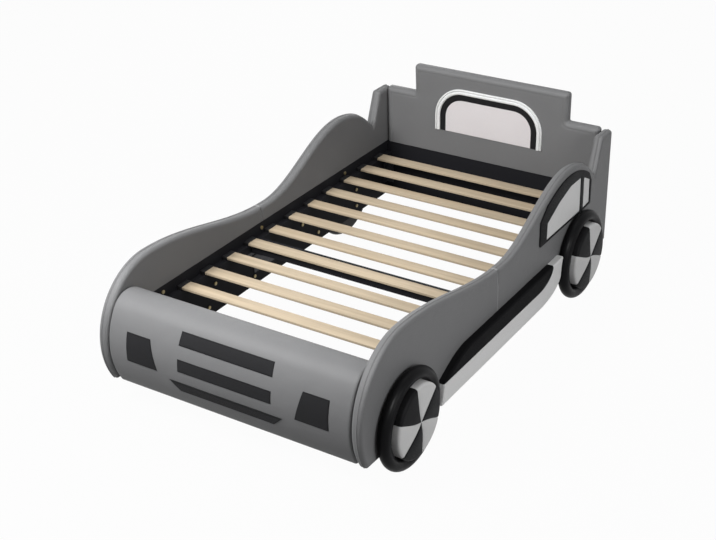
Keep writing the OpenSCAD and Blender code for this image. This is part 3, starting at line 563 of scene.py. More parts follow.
def looped(bm, points):
    """Adds a ring of points and the edges between them to a bmesh."""
    verts = [bm.verts.new(p) for p in points]
    return verts, [bm.edges.new((v, verts[(i + 1) % len(verts)])) for i, v in enumerate(verts)]


def spread(a, b, steps):
    """Values from a towards b, without b."""
    return [a + (b - a) * i / steps for i in range(steps)]


def rounded(points, radii, steps=6):
    """An outline whose corners, given by index, become arcs of a radius."""
    result = []
    for i, p in enumerate(points):
        if i not in radii:
            result.append(p)
            continue
        p, a, b = Vector(p), Vector(points[i - 1]), Vector(points[(i + 1) % len(points)])
        u, v = (a - p).normalized(), (b - p).normalized()
        half = u.angle(v) / 2
        reach = radii[i] / tan(half)
        centre = p + (u + v).normalized() * radii[i] / sin(half)
        start, end = p + u * reach - centre, p + v * reach - centre
        turn = start.angle_signed(end)
        for k in range(steps + 1):
            t = -turn * k / steps
            result.append(tuple(centre + Vector((start.x * cos(t) - start.y * sin(t),
                                                 start.x * sin(t) + start.y * cos(t)))))
    return result


def edge_distances(points, outline, wanted):
    """Distance from each point to the wanted edges of an outline, and how far along it that is."""
    a = np.array(outline)
    b = np.roll(a, -1, axis=0)
    runs = np.concatenate([[0], np.cumsum(np.linalg.norm(b - a, axis=1))])[:-1]
    a, b, runs = a[wanted], b[wanted], runs[wanted]
    if not len(a):
        return np.full(len(points), 9.0), np.zeros(len(points))
    d = b - a
    long = np.maximum((d * d).sum(1), 1e-12)
    t = np.clip(((points[:, None, :] - a) * d).sum(2) / long, 0, 1)
    gap = np.linalg.norm(points[:, None, :] - (a + d * t[..., None]), axis=2)
    best = gap.argmin(1)
    rows = np.arange(len(points))
    return gap[rows, best], runs[best] + t[rows, best] * np.sqrt(long[best])


def inset(outline, d):
    """An outline set in by d, point for point; edges that would turn round shrink to a point."""
    p = np.array(outline)
    n = len(p)
    along = np.roll(p, -1, axis=0) - p
    along /= np.linalg.norm(along, axis=1)[:, None]
    area = np.sum(p[:, 0] * np.roll(p[:, 1], -1) - p[:, 1] * np.roll(p[:, 0], -1))
    inward = along[:, ::-1] * np.array((-1, 1)) * np.sign(area)
    level = (p * inward).sum(1) + d
    alive = np.ones(n, bool)
    moved = p.copy()
    for _ in range(40):
        for i in range(n):
            before = next(k % n for k in range(i - 1 + n, i - 1, -1) if alive[k % n])
            after = next(k % n for k in range(i, i + n) if alive[k % n])
            pair = np.array((inward[before], inward[after]))
            if abs(np.linalg.det(pair)) > 1e-3:
                moved[i] = np.linalg.solve(pair, (level[before], level[after]))
            else:
                moved[i] = p[i] + inward[after] * (level[after] - p[i] @ inward[after])
        turned = alive & (((np.roll(moved, -1, axis=0) - moved) * along).sum(1) < 0)
        if not turned.any():
            break
        alive &= ~turned
    return moved


def drop(d, r):
    """How far a rounded edge of radius r lies below the face at a distance d from the outline."""
    left = r - np.clip(d, 0, r)
    return r - np.sqrt(np.maximum(r * r - left * left, 0))


# Sewn creases: half width, the depth at which their painted shade is full, how far apart their rows of
# points lie and where they are cut
CREASE_W = 0.0022
FULL_SHADE_DEPTH = 0.003
CREASE_STEP = 0.0012
FACE_ROWS = (-4, -2.2, -1, 0, 1, 2.2, 4)
WALL_ROWS = (-0.0045, -0.002, 0, 0.002, 0.0045)
# How far a seam pulls the leather and how far the painted highlight spreads from a hem, and the angles at
# which a padded rim has its rings
SEAM_REACH = 0.006
RIM_ANGLES = (15, 30, 45, 60, 75, 90)


def crease(d):
    """How deep a crease is at a distance from its middle, from 1 down to 0."""
    return exp(-(d / CREASE_W) ** 2)


def ringed(bm, outline, heights, distances):
    """Insets the flat faces at some heights ring by ring, to distances from their outline."""
    flat = np.array(outline)
    rings = [inset(outline, d) for d in distances]
    for height in heights:
        cap = next(f for f in bm.faces if all(abs(v.co.z - height) < EXACT for v in f.verts))
        order = [int(np.linalg.norm(flat - v.co.xy, axis=1).argmin()) for v in cap.verts]
        for ring in rings:
            bmesh.ops.inset_region(bm, faces=[cap], thickness=NEAR, use_boundary=True)
            for v, i in zip(cap.verts, order):
                v.co.x, v.co.y = ring[i]
    bmesh.ops.remove_doubles(bm, verts=bm.verts[:], dist=2 * NEAR)


def slab(outline, soft, faces, radii, hem_r, depth=0.0, crease_at=(), wall_at=None, deep=None,
         reach=0.008, cuts=()):
    """A padded slab in (u, v, h): an outline between two levels, with soft rims and plain hems.

    soft says for each edge of the outline whether it is padded, faces holds the two levels and
    radii their rim radii. crease_at lists distances from the rim at which a crease of the given
    depth is sewn into the upper face, and wall_at the height of a crease round the wall. deep moves
    points after cuts were made along u or v, and reach is how far past the rim the rings go."""
    h0, h1 = faces
    bm = prism([(u, v, h0) for u, v in outline], (0, 0, h1 - h0))
    rings = [max(radii) * (1 - cos(radians(a))) for a in RIM_ANGLES]
    rings = sorted(rings + [at + row * CREASE_STEP for at in crease_at for row in FACE_ROWS])
    ringed(bm, outline, faces, rings + [rings[-1] + reach])
    for row in WALL_ROWS if wall_at else ():
        sliced(bm, (0, 0, h1 - wall_at - row), (0, 0, 1))
    for u, v in cuts:
        sliced(bm, (u, v, 0), (1, 0, 0) if u else (0, 1, 0))
    hem_highlight_layer = bm.verts.layers.float.new("seam")
    crease_shade_layer = bm.verts.layers.float.new("fold")
    verts = bm.verts[:]
    at = np.array([v.co[:2] for v in verts])
    soft = np.array(soft, bool)
    for v, s, h in zip(verts, edge_distances(at, outline, soft)[0],
                       edge_distances(at, outline, ~soft)[0]):
        upper = v.co.z > (h0 + h1) / 2
        face, radius = (h1, radii[1]) if upper else (h0, radii[0])
        fold = sum(crease(s - c) for c in crease_at) if upper else 0
        fall = max(float(drop(s, radius)), float(drop(h, min(hem_r, radius)))) + depth * fold
        limit = face - fall if upper else face + fall
        if min(s, h) < NEAR:
            limit = min(v.co.z, limit) if upper else max(v.co.z, limit)
        v.co.z = limit
        # mask of the painted highlight near the hems
        v[hem_highlight_layer] = max(0, 1 - h / SEAM_REACH)
        # strength of the painted shade in the sewn creases
        v[crease_shade_layer] = fold * min(1, depth / FULL_SHADE_DEPTH)
    if wall_at:
        bm.normal_update()
        line = h1 - wall_at
        pulled = [(v, Vector((v.normal.x, v.normal.y, 0)).normalized()) for v in verts
                  if abs(v.co.z - line) < SEAM_REACH]
        for v, out in pulled:
            fold = crease(v.co.z - line)
            v.co -= out * depth * fold
            # the crease round the wall gets the same painted shade
            v[crease_shade_layer] = max(v[crease_shade_layer], fold)
    if deep:
        for v in verts:
            deep(v)
    return bm


def placed(bm, way):
    """Moves each point of a bmesh from (u, v, h) to the place that a function gives."""
    for v in bm.verts:
        v.co = way(*v.co)
    return bm


def skin(rows, capped=True):
    """A surface drawn row by row, each row extruded from the one before, with its ends capped."""
    bm = bmesh.new()
    verts, edges = looped(bm, rows[0])
    if not capped:
        bm.edges.remove(edges.pop())
    first = verts
    for row in rows[1:]:
        made = bmesh.ops.extrude_edge_only(bm, edges=edges)["geom"]
        fresh = {g for g in made if isinstance(g, bmesh.types.BMVert)}
        verts = [next(e.other_vert(v) for e in v.link_edges if e.other_vert(v) in fresh)
                 for v in verts]
        for v, p in zip(verts, row):
            v.co = p
        edges = [g for g in made if isinstance(g, bmesh.types.BMEdge)
                 and all(v in fresh for v in g.verts)]
    if capped:
        bm.faces.new(first)
        bm.faces.new(verts)
    return bm


def merged(into, other):
    """Adds one bmesh to another."""
    mesh = bpy.data.meshes.new("part")
    other.to_mesh(mesh)
    other.free()
    into.from_mesh(mesh)
    bpy.data.meshes.remove(mesh)
    return into


def hollowed(bm, cutters):
    """A bmesh with other closed bmeshes cut out of it."""
    body, tools = solid("part", bm), [solid("part", c) for c in cutters]
    for tool in tools:
        cut = body.modifiers.new("cut", "BOOLEAN")
        cut.operation = "DIFFERENCE"
        cut.solver = "EXACT"
        cut.object = tool
    result = bmesh.new()
    result.from_object(body, bpy.context.evaluated_depsgraph_get())
    for obj in [body, *tools]:
        mesh = obj.data
        bpy.data.objects.remove(obj)
        bpy.data.meshes.remove(mesh)
    return result


def block(low, high, bevel=0.0):
    """A box between two corners, with its edges rounded."""
    bm = bmesh.new()
    bmesh.ops.create_cube(bm, size=1.0)
    low, high = Vector(low), Vector(high)
    bmesh.ops.scale(bm, verts=bm.verts, vec=high - low)
    bmesh.ops.translate(bm, verts=bm.verts, vec=(low + high) / 2)
    return eased(bm, bm.edges[:], bevel, 2) if bevel else bm


# Outlines in (y, z)

def ease(y, a, b):
    """A smooth rise or fall between two points."""
    return a[1] + (b[1] - a[1]) * (1 - cos(pi * (y - a[0]) / (b[0] - a[0]))) / 2


def top_z(y):
    """Height of the side panel's upper edge between the hood crest and the fin."""
    o = settings("outline")
    hood, dip = (NOSE_Y + o.hood_run, o.hood_z), (NOSE_Y + o.dip_run, o.dip_z)
    roof = (REAR_Y - o.roof_back, o.roof_z)
    if y < dip[0]:
        return ease(y, hood, dip)
    if y < roof[0]:
        return ease(y, dip, roof)
    return o.roof_z - o.roof_drop * (1 - sqrt(max(0, 1 - ((y - roof[0]) / o.roof_run) ** 2)))


def nose_radius():
    """Radius of the lower nose, which is tucked back below its foremost point."""
    o = settings("outline")
    return ((o.nose_z - LIFT_Z) ** 2 + o.nose_tuck ** 2) / (2 * o.nose_tuck)


def nose_arc(d, steps=10):
    """The lower nose set back by d, from the lower edge up to the foremost point."""
    o, r = settings("outline"), nose_radius()
    return [(NOSE_Y + r - (r - d) * cos(a), o.nose_z - (r - d) * sin(a))
            for a in spread(asin((o.nose_z - LIFT_Z) / (r - d)), 0, steps)]


def hood_arc(d, end, steps=26):
    """The hood set back by d, from the foremost point up to an angle."""
    o = settings("outline")
    return [(NOSE_Y + o.hood_run - (o.hood_run - d) * cos(a),
             o.nose_z + (o.hood_z - o.nose_z - d) * sin(a)) for a in spread(0, end, steps)]


def foot_hood():
    """Length and height of the footboard's hood curve, which lies behind the side panels'."""
    o = settings("outline")
    return o.hood_run - o.foot_recess, o.hood_z - o.nose_z - o.foot_recess


def roll_centre():
    """Centre of the footboard's top roll, and the way to it from where the roll begins."""
    o = settings("outline")
    (run, rise), a = foot_hood(), o.roll_start
    point = Vector((NOSE_Y + o.hood_run - run * cos(a), o.nose_z + rise * sin(a)))
    normal = Vector((rise * cos(a), -run * sin(a))).normalized()
    return point + o.roll_r * normal, normal


def foot_profile(d, low):
    """The footboard's profile set in by d, down to a height."""
    o = settings("outline")
    centre, normal = roll_centre()
    r = o.roll_r - d
    start = pi - asin(-normal.y)
    curve = (nose_arc(o.foot_recess + d) + hood_arc(o.foot_recess + d, o.roll_start, 14)
             + [tuple(centre + r * Vector((cos(t), sin(t)))) for t in spread(start, 0, 28)]
             + [(centre.x + r, centre.y)])
    return [(curve[0][0], low)] + curve + [(curve[-1][0], low)]


def front_y(z):
    """Where the footboard's front face lies at a height."""
    o = settings("outline")
    if z < o.nose_z:
        r = nose_radius()
        return NOSE_Y + r - sqrt((r - o.foot_recess) ** 2 - (o.nose_z - z) ** 2)
    run, rise = foot_hood()
    return NOSE_Y + o.hood_run - run * sqrt(1 - ((z - o.nose_z) / rise) ** 2)


# The pieces

class CARBED_OT_side_panels(bpy.types.Operator):
    """Upholsters the four side panels with soft rims and a sewn edge strip"""
    bl_idname = "car_bed.side_panels"
    bl_label = "Side Panels"

    def execute(self, context):
        o, u = settings("outline"), settings("upholstery")
        hood_y, dip_y, roof_y = NOSE_Y + o.hood_run, NOSE_Y + o.dip_run, REAR_Y - o.roof_back
        fin_y = REAR_Y - o.fin_foot
        front = (nose_arc(0) + hood_arc(0, pi / 2)
                 + [(y, top_z(y)) for y in spread(hood_y, SEAM_Y, 44)]
                 + [(SEAM_Y, top_z(SEAM_Y)), (SEAM_Y, LIFT_Z)])
        front_soft = [True] * (len(front) - 2) + [False, False]
        rear = [(SEAM_Y, LIFT_Z)] + [(y, top_z(y)) for y in
                                     spread(SEAM_Y, dip_y, 4) + spread(dip_y, roof_y, 40)
                                     + spread(roof_y, fin_y, 26)]
        fin = [(fin_y, top_z(fin_y)), (REAR_Y - o.fin_top, o.fin_z), (REAR_Y, o.fin_z), (REAR_Y, LIFT_Z)]
        rear = rounded(rear + fin, {len(rear) + i: u.corner_r for i in (1, 2)})
        rear_soft = [False] + [True] * (len(rear) - 2) + [False]
        top = RAIL_HIGH.z + GAP

        def recess(low, high):
            """Makes room for the rail on the panel's inner face between two places along the bed."""
            def deep(v):
                if v.co.z < (BAY_X + BODY_X) / 2 and v.co.y < top + NEAR and low < v.co.x < high:
                    v.co.z = max(v.co.z, RAIL_HIGH.x + GAP)
            return deep

        past = 0.01
        panels = {
            "front": (front, front_soft, recess(RAIL_LOW.y - NEAR, SEAM_Y + past),
                      [(RAIL_LOW.y - GAP, 0), (RAIL_LOW.y, 0), (0, top), (0, top + GAP)]),
            "rear": (rear, rear_soft, recess(SEAM_Y - past, RAIL_HIGH.y + NEAR),
                     [(RAIL_HIGH.y, 0), (RAIL_HIGH.y + GAP, 0), (0, top), (0, top + GAP)]),
        }
        for end, (outline, soft, deep, cuts) in panels.items():
            for side, sign in SIDES.items():
                bm = slab(outline, soft, (BAY_X, BODY_X), (u.rim_r, u.outer_rim_r), u.hem_r, u.crease,
                          wall_at=u.boxing, deep=deep, cuts=cuts)
                placed(bm, lambda y, z, x: (sign * x, y, z))
                piece(f"{end}_side_cushion_{side}", bm, "grey",
                      f"side_{end}_pad_{side}")
        return {"FINISHED"}


class CARBED_OT_headboard(bpy.types.Operator):
    """Upholsters the stepped headboard with puffed rims"""
    bl_idname = "car_bed.headboard"
    bl_label = "Headboard"

    def execute(self, context):
        o, u = settings("outline"), settings("upholstery")
        half, crown = HEAD_HIGH.x - GAP, o.crown_w / 2
        steps = [(-half, LIFT_Z), (-half, o.shoulder_z), (-crown, o.shoulder_z), (-crown, HEAD_HIGH.z),
                 (crown, HEAD_HIGH.z), (crown, o.shoulder_z), (half, o.shoulder_z), (half, LIFT_Z)]
        outline = rounded(steps, {i: u.corner_r for i in (1, 3, 4, 6)} | {i: u.notch_r for i in (2, 5)})
        soft = [True] * (len(outline) - 1) + [False]
        top = HEAD_RAIL_HIGH.z + GAP
        depth = HEAD_HIGH.y - HEAD_LOW.y

        def deep(v):
            if v.co.z > depth / 2:
                for x in (-crown, crown):
                    near = (v.co.xy - Vector((x, o.shoulder_z))).length
                    v.co.z -= u.tuft * exp(-(near / u.tuft_w) ** 2)
                if v.co.y < top + NEAR:
                    v.co.z = min(v.co.z, HEAD_HIGH.y - HEAD_RAIL_HIGH.y - GAP)

        bm = slab(outline, soft, (0, depth), (u.head_rim_r, u.head_rim_r), u.hem_r, u.crease / 3,
                  crease_at=(u.head_crease,), deep=deep, reach=0.012, cuts=[(0, top), (0, top + GAP)])
        placed(bm, lambda x, z, h: (x, HEAD_HIGH.y - h, z))
        piece("headboard_cushion", bm, "grey", "headboard_pad")
        return {"FINISHED"}


def arch(d, steps=18, sides=4):
    """The window's arch set in by d, from the lower left to the lower right."""
    t = settings("trim")
    w, h, r = t.arch_w / 2 - d, t.arch_h - d, t.arch_r - d
    left = [(-w, z) for z in spread(t.arch_z, t.arch_z + h - r, sides)]
    left += [(-w + r + r * cos(a), t.arch_z + h - r + r * sin(a))
             for a in spread(pi, pi / 2, steps) + [pi / 2]]
    return left + [(-x, z) for x, z in reversed(left)]


def arch_sweep(profile, y):
    """A band along the arch: profile points give how far in and how far out of the headboard."""
    return skin(list(zip(*[[(x, y - out, z) for x, z in arch(d)] for d, out in profile])))


def bead(start, end, height, steps=8):
    """The rounded section of one padded bead between two distances."""
    middle, half = (start + end) / 2, (end - start) / 2
    return [(middle - half * cos(a), height * sin(a) ** 0.8)
            for a in [pi * k / steps for k in range(steps + 1)]]


# The border's base and the gap between its beads, and the narrow outer bead's shares of the width
# and height
BEAD_BASE, BEAD_GAP, NARROW_W, NARROW_H = 0.0015, 0.0008, 0.36, 0.72
# Radii of the dark band's and the pane's rims
BAND_RIM, PANE_RIM = 0.0012, 0.0014


class CARBED_OT_rear_window(bpy.types.Operator):
    """Sews the white border, the dark band and the pale pane on the headboard"""
    bl_idname = "car_bed.rear_window"
    bl_label = "Rear Window"

    def execute(self, context):
        t = settings("trim")
        y = HEAD_LOW.y - GAP
        low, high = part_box("window_border")
        thick = high.y - low.y
        # A narrow and a wide bead stand on the border's base
        split, end = t.border_w * NARROW_W, t.border_w - BEAD_GAP / 2
        outer = bead(BEAD_GAP, split, thick * NARROW_H)
        inner = bead(split + BEAD_GAP / 2, end, thick - BEAD_BASE, 12)
        profile = [(BEAD_GAP, 0)] + [(d, h + BEAD_BASE) for d, h in outer + inner] + [(end, 0)]
        piece("window_border_bead", arch_sweep(profile, y), "white",
              "window_border", sharp=50)
        low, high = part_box("window_band")
        thick = high.y - low.y
        start, end = t.border_w + GAP, t.border_w + t.band_w - GAP
        band = [(start, 0), (start, thick - BAND_RIM), (start + BAND_RIM, thick),
                (end - BAND_RIM, thick), (end, thick - BAND_RIM), (end, 0)]
        piece("window_dark_band", arch_sweep(band, y), "patch", "window_band")
        outline = arch(t.border_w + t.band_w)
        bm = slab(outline, [True] * len(outline), (0, thick), (0, PANE_RIM), PANE_RIM)
        placed(bm, lambda x, z, h: (x, y - h, z))
        piece("window_pale_pane", bm, "pane", "window_pane", sharp=50)
        return {"FINISHED"}


# Radius of the footboard's hem, and how far its hollow is cut past its edges
FOOT_HEM, FOOT_PAST = 0.0025, 0.05


class CARBED_OT_footboard(bpy.types.Operator):
    """Upholsters the nose, hollow inside, with rounded ends and a rolled top"""
    bl_idname = "car_bed.footboard"
    bl_label = "Footboard"

    def execute(self, context):
        o, u = settings("outline"), settings("upholstery")
        half = BAY_X - GAP
        outline = foot_profile(0, LIFT_Z)[1:]
        soft = [True] * (len(outline) - 1) + [False]
        bm = slab(outline, soft, (-half, half), (u.foot_rim_r, u.foot_rim_r), FOOT_HEM, reach=0.003)
        placed(bm, lambda y, z, x: (x, y, z))
        shell, open_z = o.foot_foam, LIFT_Z - FOOT_PAST
        cavity = prism([(shell - half, y, z) for y, z in foot_profile(shell, open_z)],
                       (2 * (half - shell), 0, 0))
        rail = block((FOOT_RAIL_LOW.x - GAP, FOOT_RAIL_LOW.y - GAP, open_z),
                     (FOOT_RAIL_HIGH.x + GAP, FOOT_RAIL_HIGH.y + FOOT_PAST, FOOT_RAIL_HIGH.z + GAP))
        bm = hollowed(bm, [cavity, rail])
        piece("nose_cushion", bm, "grey", "footboard_pad")
        return {"FINISHED"}


# Height between a patch's rows of points, and how far its rings lie apart from the edge inwards
PATCH_STEP = 0.007
PATCH_RINGS = (0.0005, 0.0007, 0.004)
# Each grille bar's lower and upper edge and its half widths there, as shares of the whole grille
GRILLE_BARS = ((0, 0.178, 0.506, 0.61), (0.379, 0.587, 0.5, 0.5), (0.796, 1, 0.5, 0.493))


def nose_patch(points):
    """A patch given by its corners in (x, z), sewn round the footboard's front curve."""
    thick = settings("trim").patch_t
    bm = bmesh.new()
    edge_layer = bm.verts.layers.float.new("edge")
    run_layer = bm.verts.layers.float.new("run")
    bm.faces.new([bm.verts.new((x, 0, z)) for x, z in points])
    low, high = min(z for _, z in points), max(z for _, z in points)
    for z in spread(low, high, max(2, int((high - low) / PATCH_STEP)))[1:]:
        sliced(bm, (0, 0, z), (0, 0, 1))
    inner = bm.faces[:]
    for step in PATCH_RINGS:
        bmesh.ops.inset_region(bm, faces=inner, thickness=step, use_even_offset=True, use_boundary=True)
    top = set(raised(bm, bm.faces[:], (0, 0, 0)))
    verts = bm.verts[:]
    at = np.array([(v.co.x, v.co.z) for v in verts])
    gaps, runs = edge_distances(at, points, np.ones(len(points), bool))
    for v, gap, run in zip(verts, gaps, runs):
        v[edge_layer], v[run_layer] = gap, run
        rise = thick - float(drop(gap, sum(PATCH_RINGS[:2]))) if v in top else 0.0
        v.co.y = front_y(v.co.z) - GAP - rise
    return bm


class CARBED_OT_front_patches(bpy.types.Operator):
    """Sews the headlamps and the grille bars on the nose"""
    bl_idname = "car_bed.front_patches"
    bl_label = "Front Patches"

    def execute(self, context):
        t = settings("trim")
        bm = bmesh.new()
        for z0, z1, low, high in GRILLE_BARS:
            z0, z1 = t.grille_z + z0 * t.grille_h, t.grille_z + z1 * t.grille_h
            low, high = low * t.grille_w, high * t.grille_w
            merged(bm, nose_patch([(-low, z0), (low, z0), (high, z1), (-high, z1)]))
        piece("grille_bars", bm, "patch", "grille_patches")
        bm = bmesh.new()
        for sign in SIDES.values():
            corners = ((t.lamp_out - t.lamp_low_w, 0), (t.lamp_out, 0), (t.lamp_out, t.lamp_h),
                       (t.lamp_out - t.lamp_top_w, t.lamp_h))
            merged(bm, nose_patch([(sign * x, t.lamp_z + z) for x, z in corners]))
        piece("headlamps", bm, "patch", "headlamp_patches")
        return {"FINISHED"}


def wheel(end):
    """Centre of a right wheel in y and z, its outer radius and its tyre's thickness."""
    low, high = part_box(f"tyre_{end}_right")
    r = (high.y - low.y) / 2
    return (low.y + high.y) / 2, high.z - r, r, high.x - low.x


class CARBED_OT_sills(bpy.types.Operator):
    """Upholsters the raised sills and their dark inserts"""
    bl_idname = "car_bed.sills"
    bl_label = "Sills"

    def execute(self, context):
        t = settings("trim")
        low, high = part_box("sill_pad_right")
        y0 = low.y
        wheel_y, wheel_z, r, _ = wheel("rear")
        rear_y = wheel_y - r - t.sill_rear_gap
        kick_y, clear = rear_y - t.sill_kick, r + t.sill_rear_gap
        slope_y = y0 + t.sill_gap / 2
        tip_y = rear_y - t.insert_back - t.insert_curve
        rise = high.z - t.insert_z
        slope = [(slope_y + t.insert_slope * (1 - a), t.insert_z + rise * cos(a * pi / 2))
                 for a in spread(1, 0, 20)] + [(slope_y + t.insert_slope, high.z)]
        tail = [(tip_y + t.insert_curve * cos(a), high.z - rise * sin(a)) for a in spread(0, pi / 2, 16)]
        tail.append((tip_y, t.insert_z))
        insert_soft = [True] * len(slope) + [False] * len(tail)
        bite = asin((high.z - wheel_z) / clear)
        arc = [(wheel_y - clear * cos(a), wheel_z + clear * sin(a)) for a in spread(bite, 0, 10)]
        kick = [(kick_y + t.sill_kick * cos(a), wheel_z - (wheel_z - LIFT_Z) * sin(a))
                for a in spread(0, pi / 2, 20)] + [(kick_y, LIFT_Z)]
        pad = [(y0, LIFT_Z), (slope_y, t.insert_z)] + tail[::-1] + arc + kick
        pad_soft = [True] + [False] * len(tail) + [True] * (len(arc) + len(kick) + 1)
        for side, sign in SIDES.items():
            for name, outline, soft, surface, slot, node in (
                    ("sill_cushion", pad, pad_soft, "sill", "silver_leather", "sill_pad"),
                    ("sill_dark_insert", slope + tail, insert_soft, "insert", "black_leather",
                     "sill_insert")):
                bm = slab(outline, soft, (BODY_X + GAP, high.x), (0, t.sill_rim_r), t.sill_hem_r,
                          reach=0.004)
                placed(bm, lambda y, z, x: (sign * x, y, z))
                piece(f"{name}_{side}", bm, surface, f"{node}_{side}")
        return {"FINISHED"}


# A side window in shares of its length and height: its front and rear corners, the part of its
# length where its top follows the roof, and the corners of its panes, each with their radii
WIN_FRONT, WIN_REAR, WIN_ROOF = ((0, 0), (0, 0.52)), ((1, 0.51), (1, 0)), (0.12, 0.945)
PANES = (
    (((0.125, 0.05), (0.13, 0.39), (0.345, 0.62), (0.56, 0.76), (0.765, 0.76), (0.775, 0.04)),
     (0.006, 0.006, 0.03, 0.05, 0.010, 0.006)),
    (((0.84, 0.04), (0.83, 0.71), (0.955, 0.56), (0.965, 0.06)), (0.006,) * 4),
)
# Radii of the frame's lower and upper corners, and of the frame's and the panes' rims
WIN_LOW_R, WIN_TOP_R = 0.012, 0.008
WIN_RIM, WIN_PANE_RIM = 0.0025, 0.0012


class CARBED_OT_side_windows(bpy.types.Operator):
    """Sews the dark window frames and their pale panes on the sides"""
    bl_idname = "car_bed.side_windows"
    bl_label = "Side Windows"

    def execute(self, context):
        o, t = settings("outline"), settings("trim")
        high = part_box("side_window_frame_right")[1]
        y0, height = REAR_Y - t.win_back - t.win_l, o.roof_z - t.win_margin - t.win_z

        def spots(shares):
            return [(y0 + a * t.win_l, t.win_z + b * height) for a, b in shares]

        roof = [y0 + s * t.win_l for s in spread(*WIN_ROOF, 30) + [WIN_ROOF[1]]]
        outer = spots(WIN_FRONT) + [(y, top_z(y) - t.win_margin) for y in roof] + spots(WIN_REAR)
        last = len(outer) - 1
        outer = rounded(outer, {0: WIN_LOW_R, 1: WIN_TOP_R, last - 1: WIN_TOP_R, last: WIN_LOW_R}, 4)
        panes = [rounded(spots(shares), dict(enumerate(radii)), 4) for shares, radii in PANES]
        thick = high.x - BODY_X
        for side, sign in SIDES.items():
            bm = bmesh.new()
            for loop in [outer, *panes]:
                looped(bm, [(y, z, 0) for y, z in loop])
            bmesh.ops.triangle_fill(bm, edges=bm.edges[:], use_beauty=True)
            top = set(raised(bm, bm.faces[:], (0, 0, thick)))
            rims = [e for e in bm.edges if all(v in top for v in e.verts)
                    and len(e.link_faces) == 2 and e.calc_face_angle() > 1]
            eased(bm, rims, WIN_RIM, 3)
            placed(bm, lambda y, z, h: (sign * (BODY_X + GAP + h), y, z))
            piece(f"side_window_surround_{side}", bm, "black",
                  f"side_window_frame_{side}")
            bm = bmesh.new()
            for pane in panes:
                merged(bm, slab(pane, [True] * len(pane), (0, thick * 0.6), (0, WIN_PANE_RIM),
                                WIN_PANE_RIM, reach=0.002))
            placed(bm, lambda y, z, h: (sign * (BODY_X + GAP + h), y, z))
            piece(f"side_window_leather_{side}", bm, "sill",
                  f"side_window_panes_{side}")
        return {"FINISHED"}


class CARBED_OT_tyres(bpy.types.Operator):
    """Turns the padded tyres, cut out for the disc and the hub"""
    bl_idname = "car_bed.tyres"
    bl_label = "Tyres"

    def execute(self, context):
        disc_low, disc_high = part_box("wheel_disc_front_right")
        disc_r, disc_x = (disc_high.y - disc_low.y) / 2 + GAP, disc_high.x + GAP
        bore = settings("wheels").hub_r + GAP
        points = 28
        for end in ENDS:
            y, z, r, thick = wheel(end)
            ring = thick / 2
            profile = []
            for a in spread(0, 2 * pi, points):
                x, out = BODY_X + ring + ring * cos(a), r - ring + ring * sin(a)
                if out < disc_r and x < disc_x:
                    x, out = (x, disc_r + GAP) if sin(a) > 0 else (disc_x, out)
                profile.append((max(x, BODY_X + GAP), max(out, bore), 0))
            for side, sign in SIDES.items():
                bm = bmesh.new()
                verts, edges = looped(bm, profile)
                bmesh.ops.spin(bm, geom=verts + edges, cent=(0, 0, 0), axis=(1, 0, 0), dvec=(0, 0, 0),
                               angle=2 * pi, steps=4 * points, use_merge=True)
                bmesh.ops.remove_doubles(bm, verts=bm.verts[:], dist=NEAR)
                placed(bm, lambda a, b, c: (sign * a, y + b, max(z + c, 0)))
                piece(f"tyre_cushion_{end}_{side}", bm, "tyre",
                      f"tyre_{end}_{side}", sharp=50)
        return {"FINISHED"}


# A hub's rings of points: radii round its centre, where its face begins, and angles round its rim
HUB_CENTRE, HUB_FACE, HUB_RIM_ANGLES = [0.0, 0.004], 0.010, (10, 25, 40, 55, 68, 80, 90)
# Columns of faces in a segment, and the powers that shape its swelling and the seams' swirl
HUB_COLUMNS, PUFF_ACROSS, PUFF_ALONG, SWIRL_POWER = 18, 0.6, 0.8, 1.7


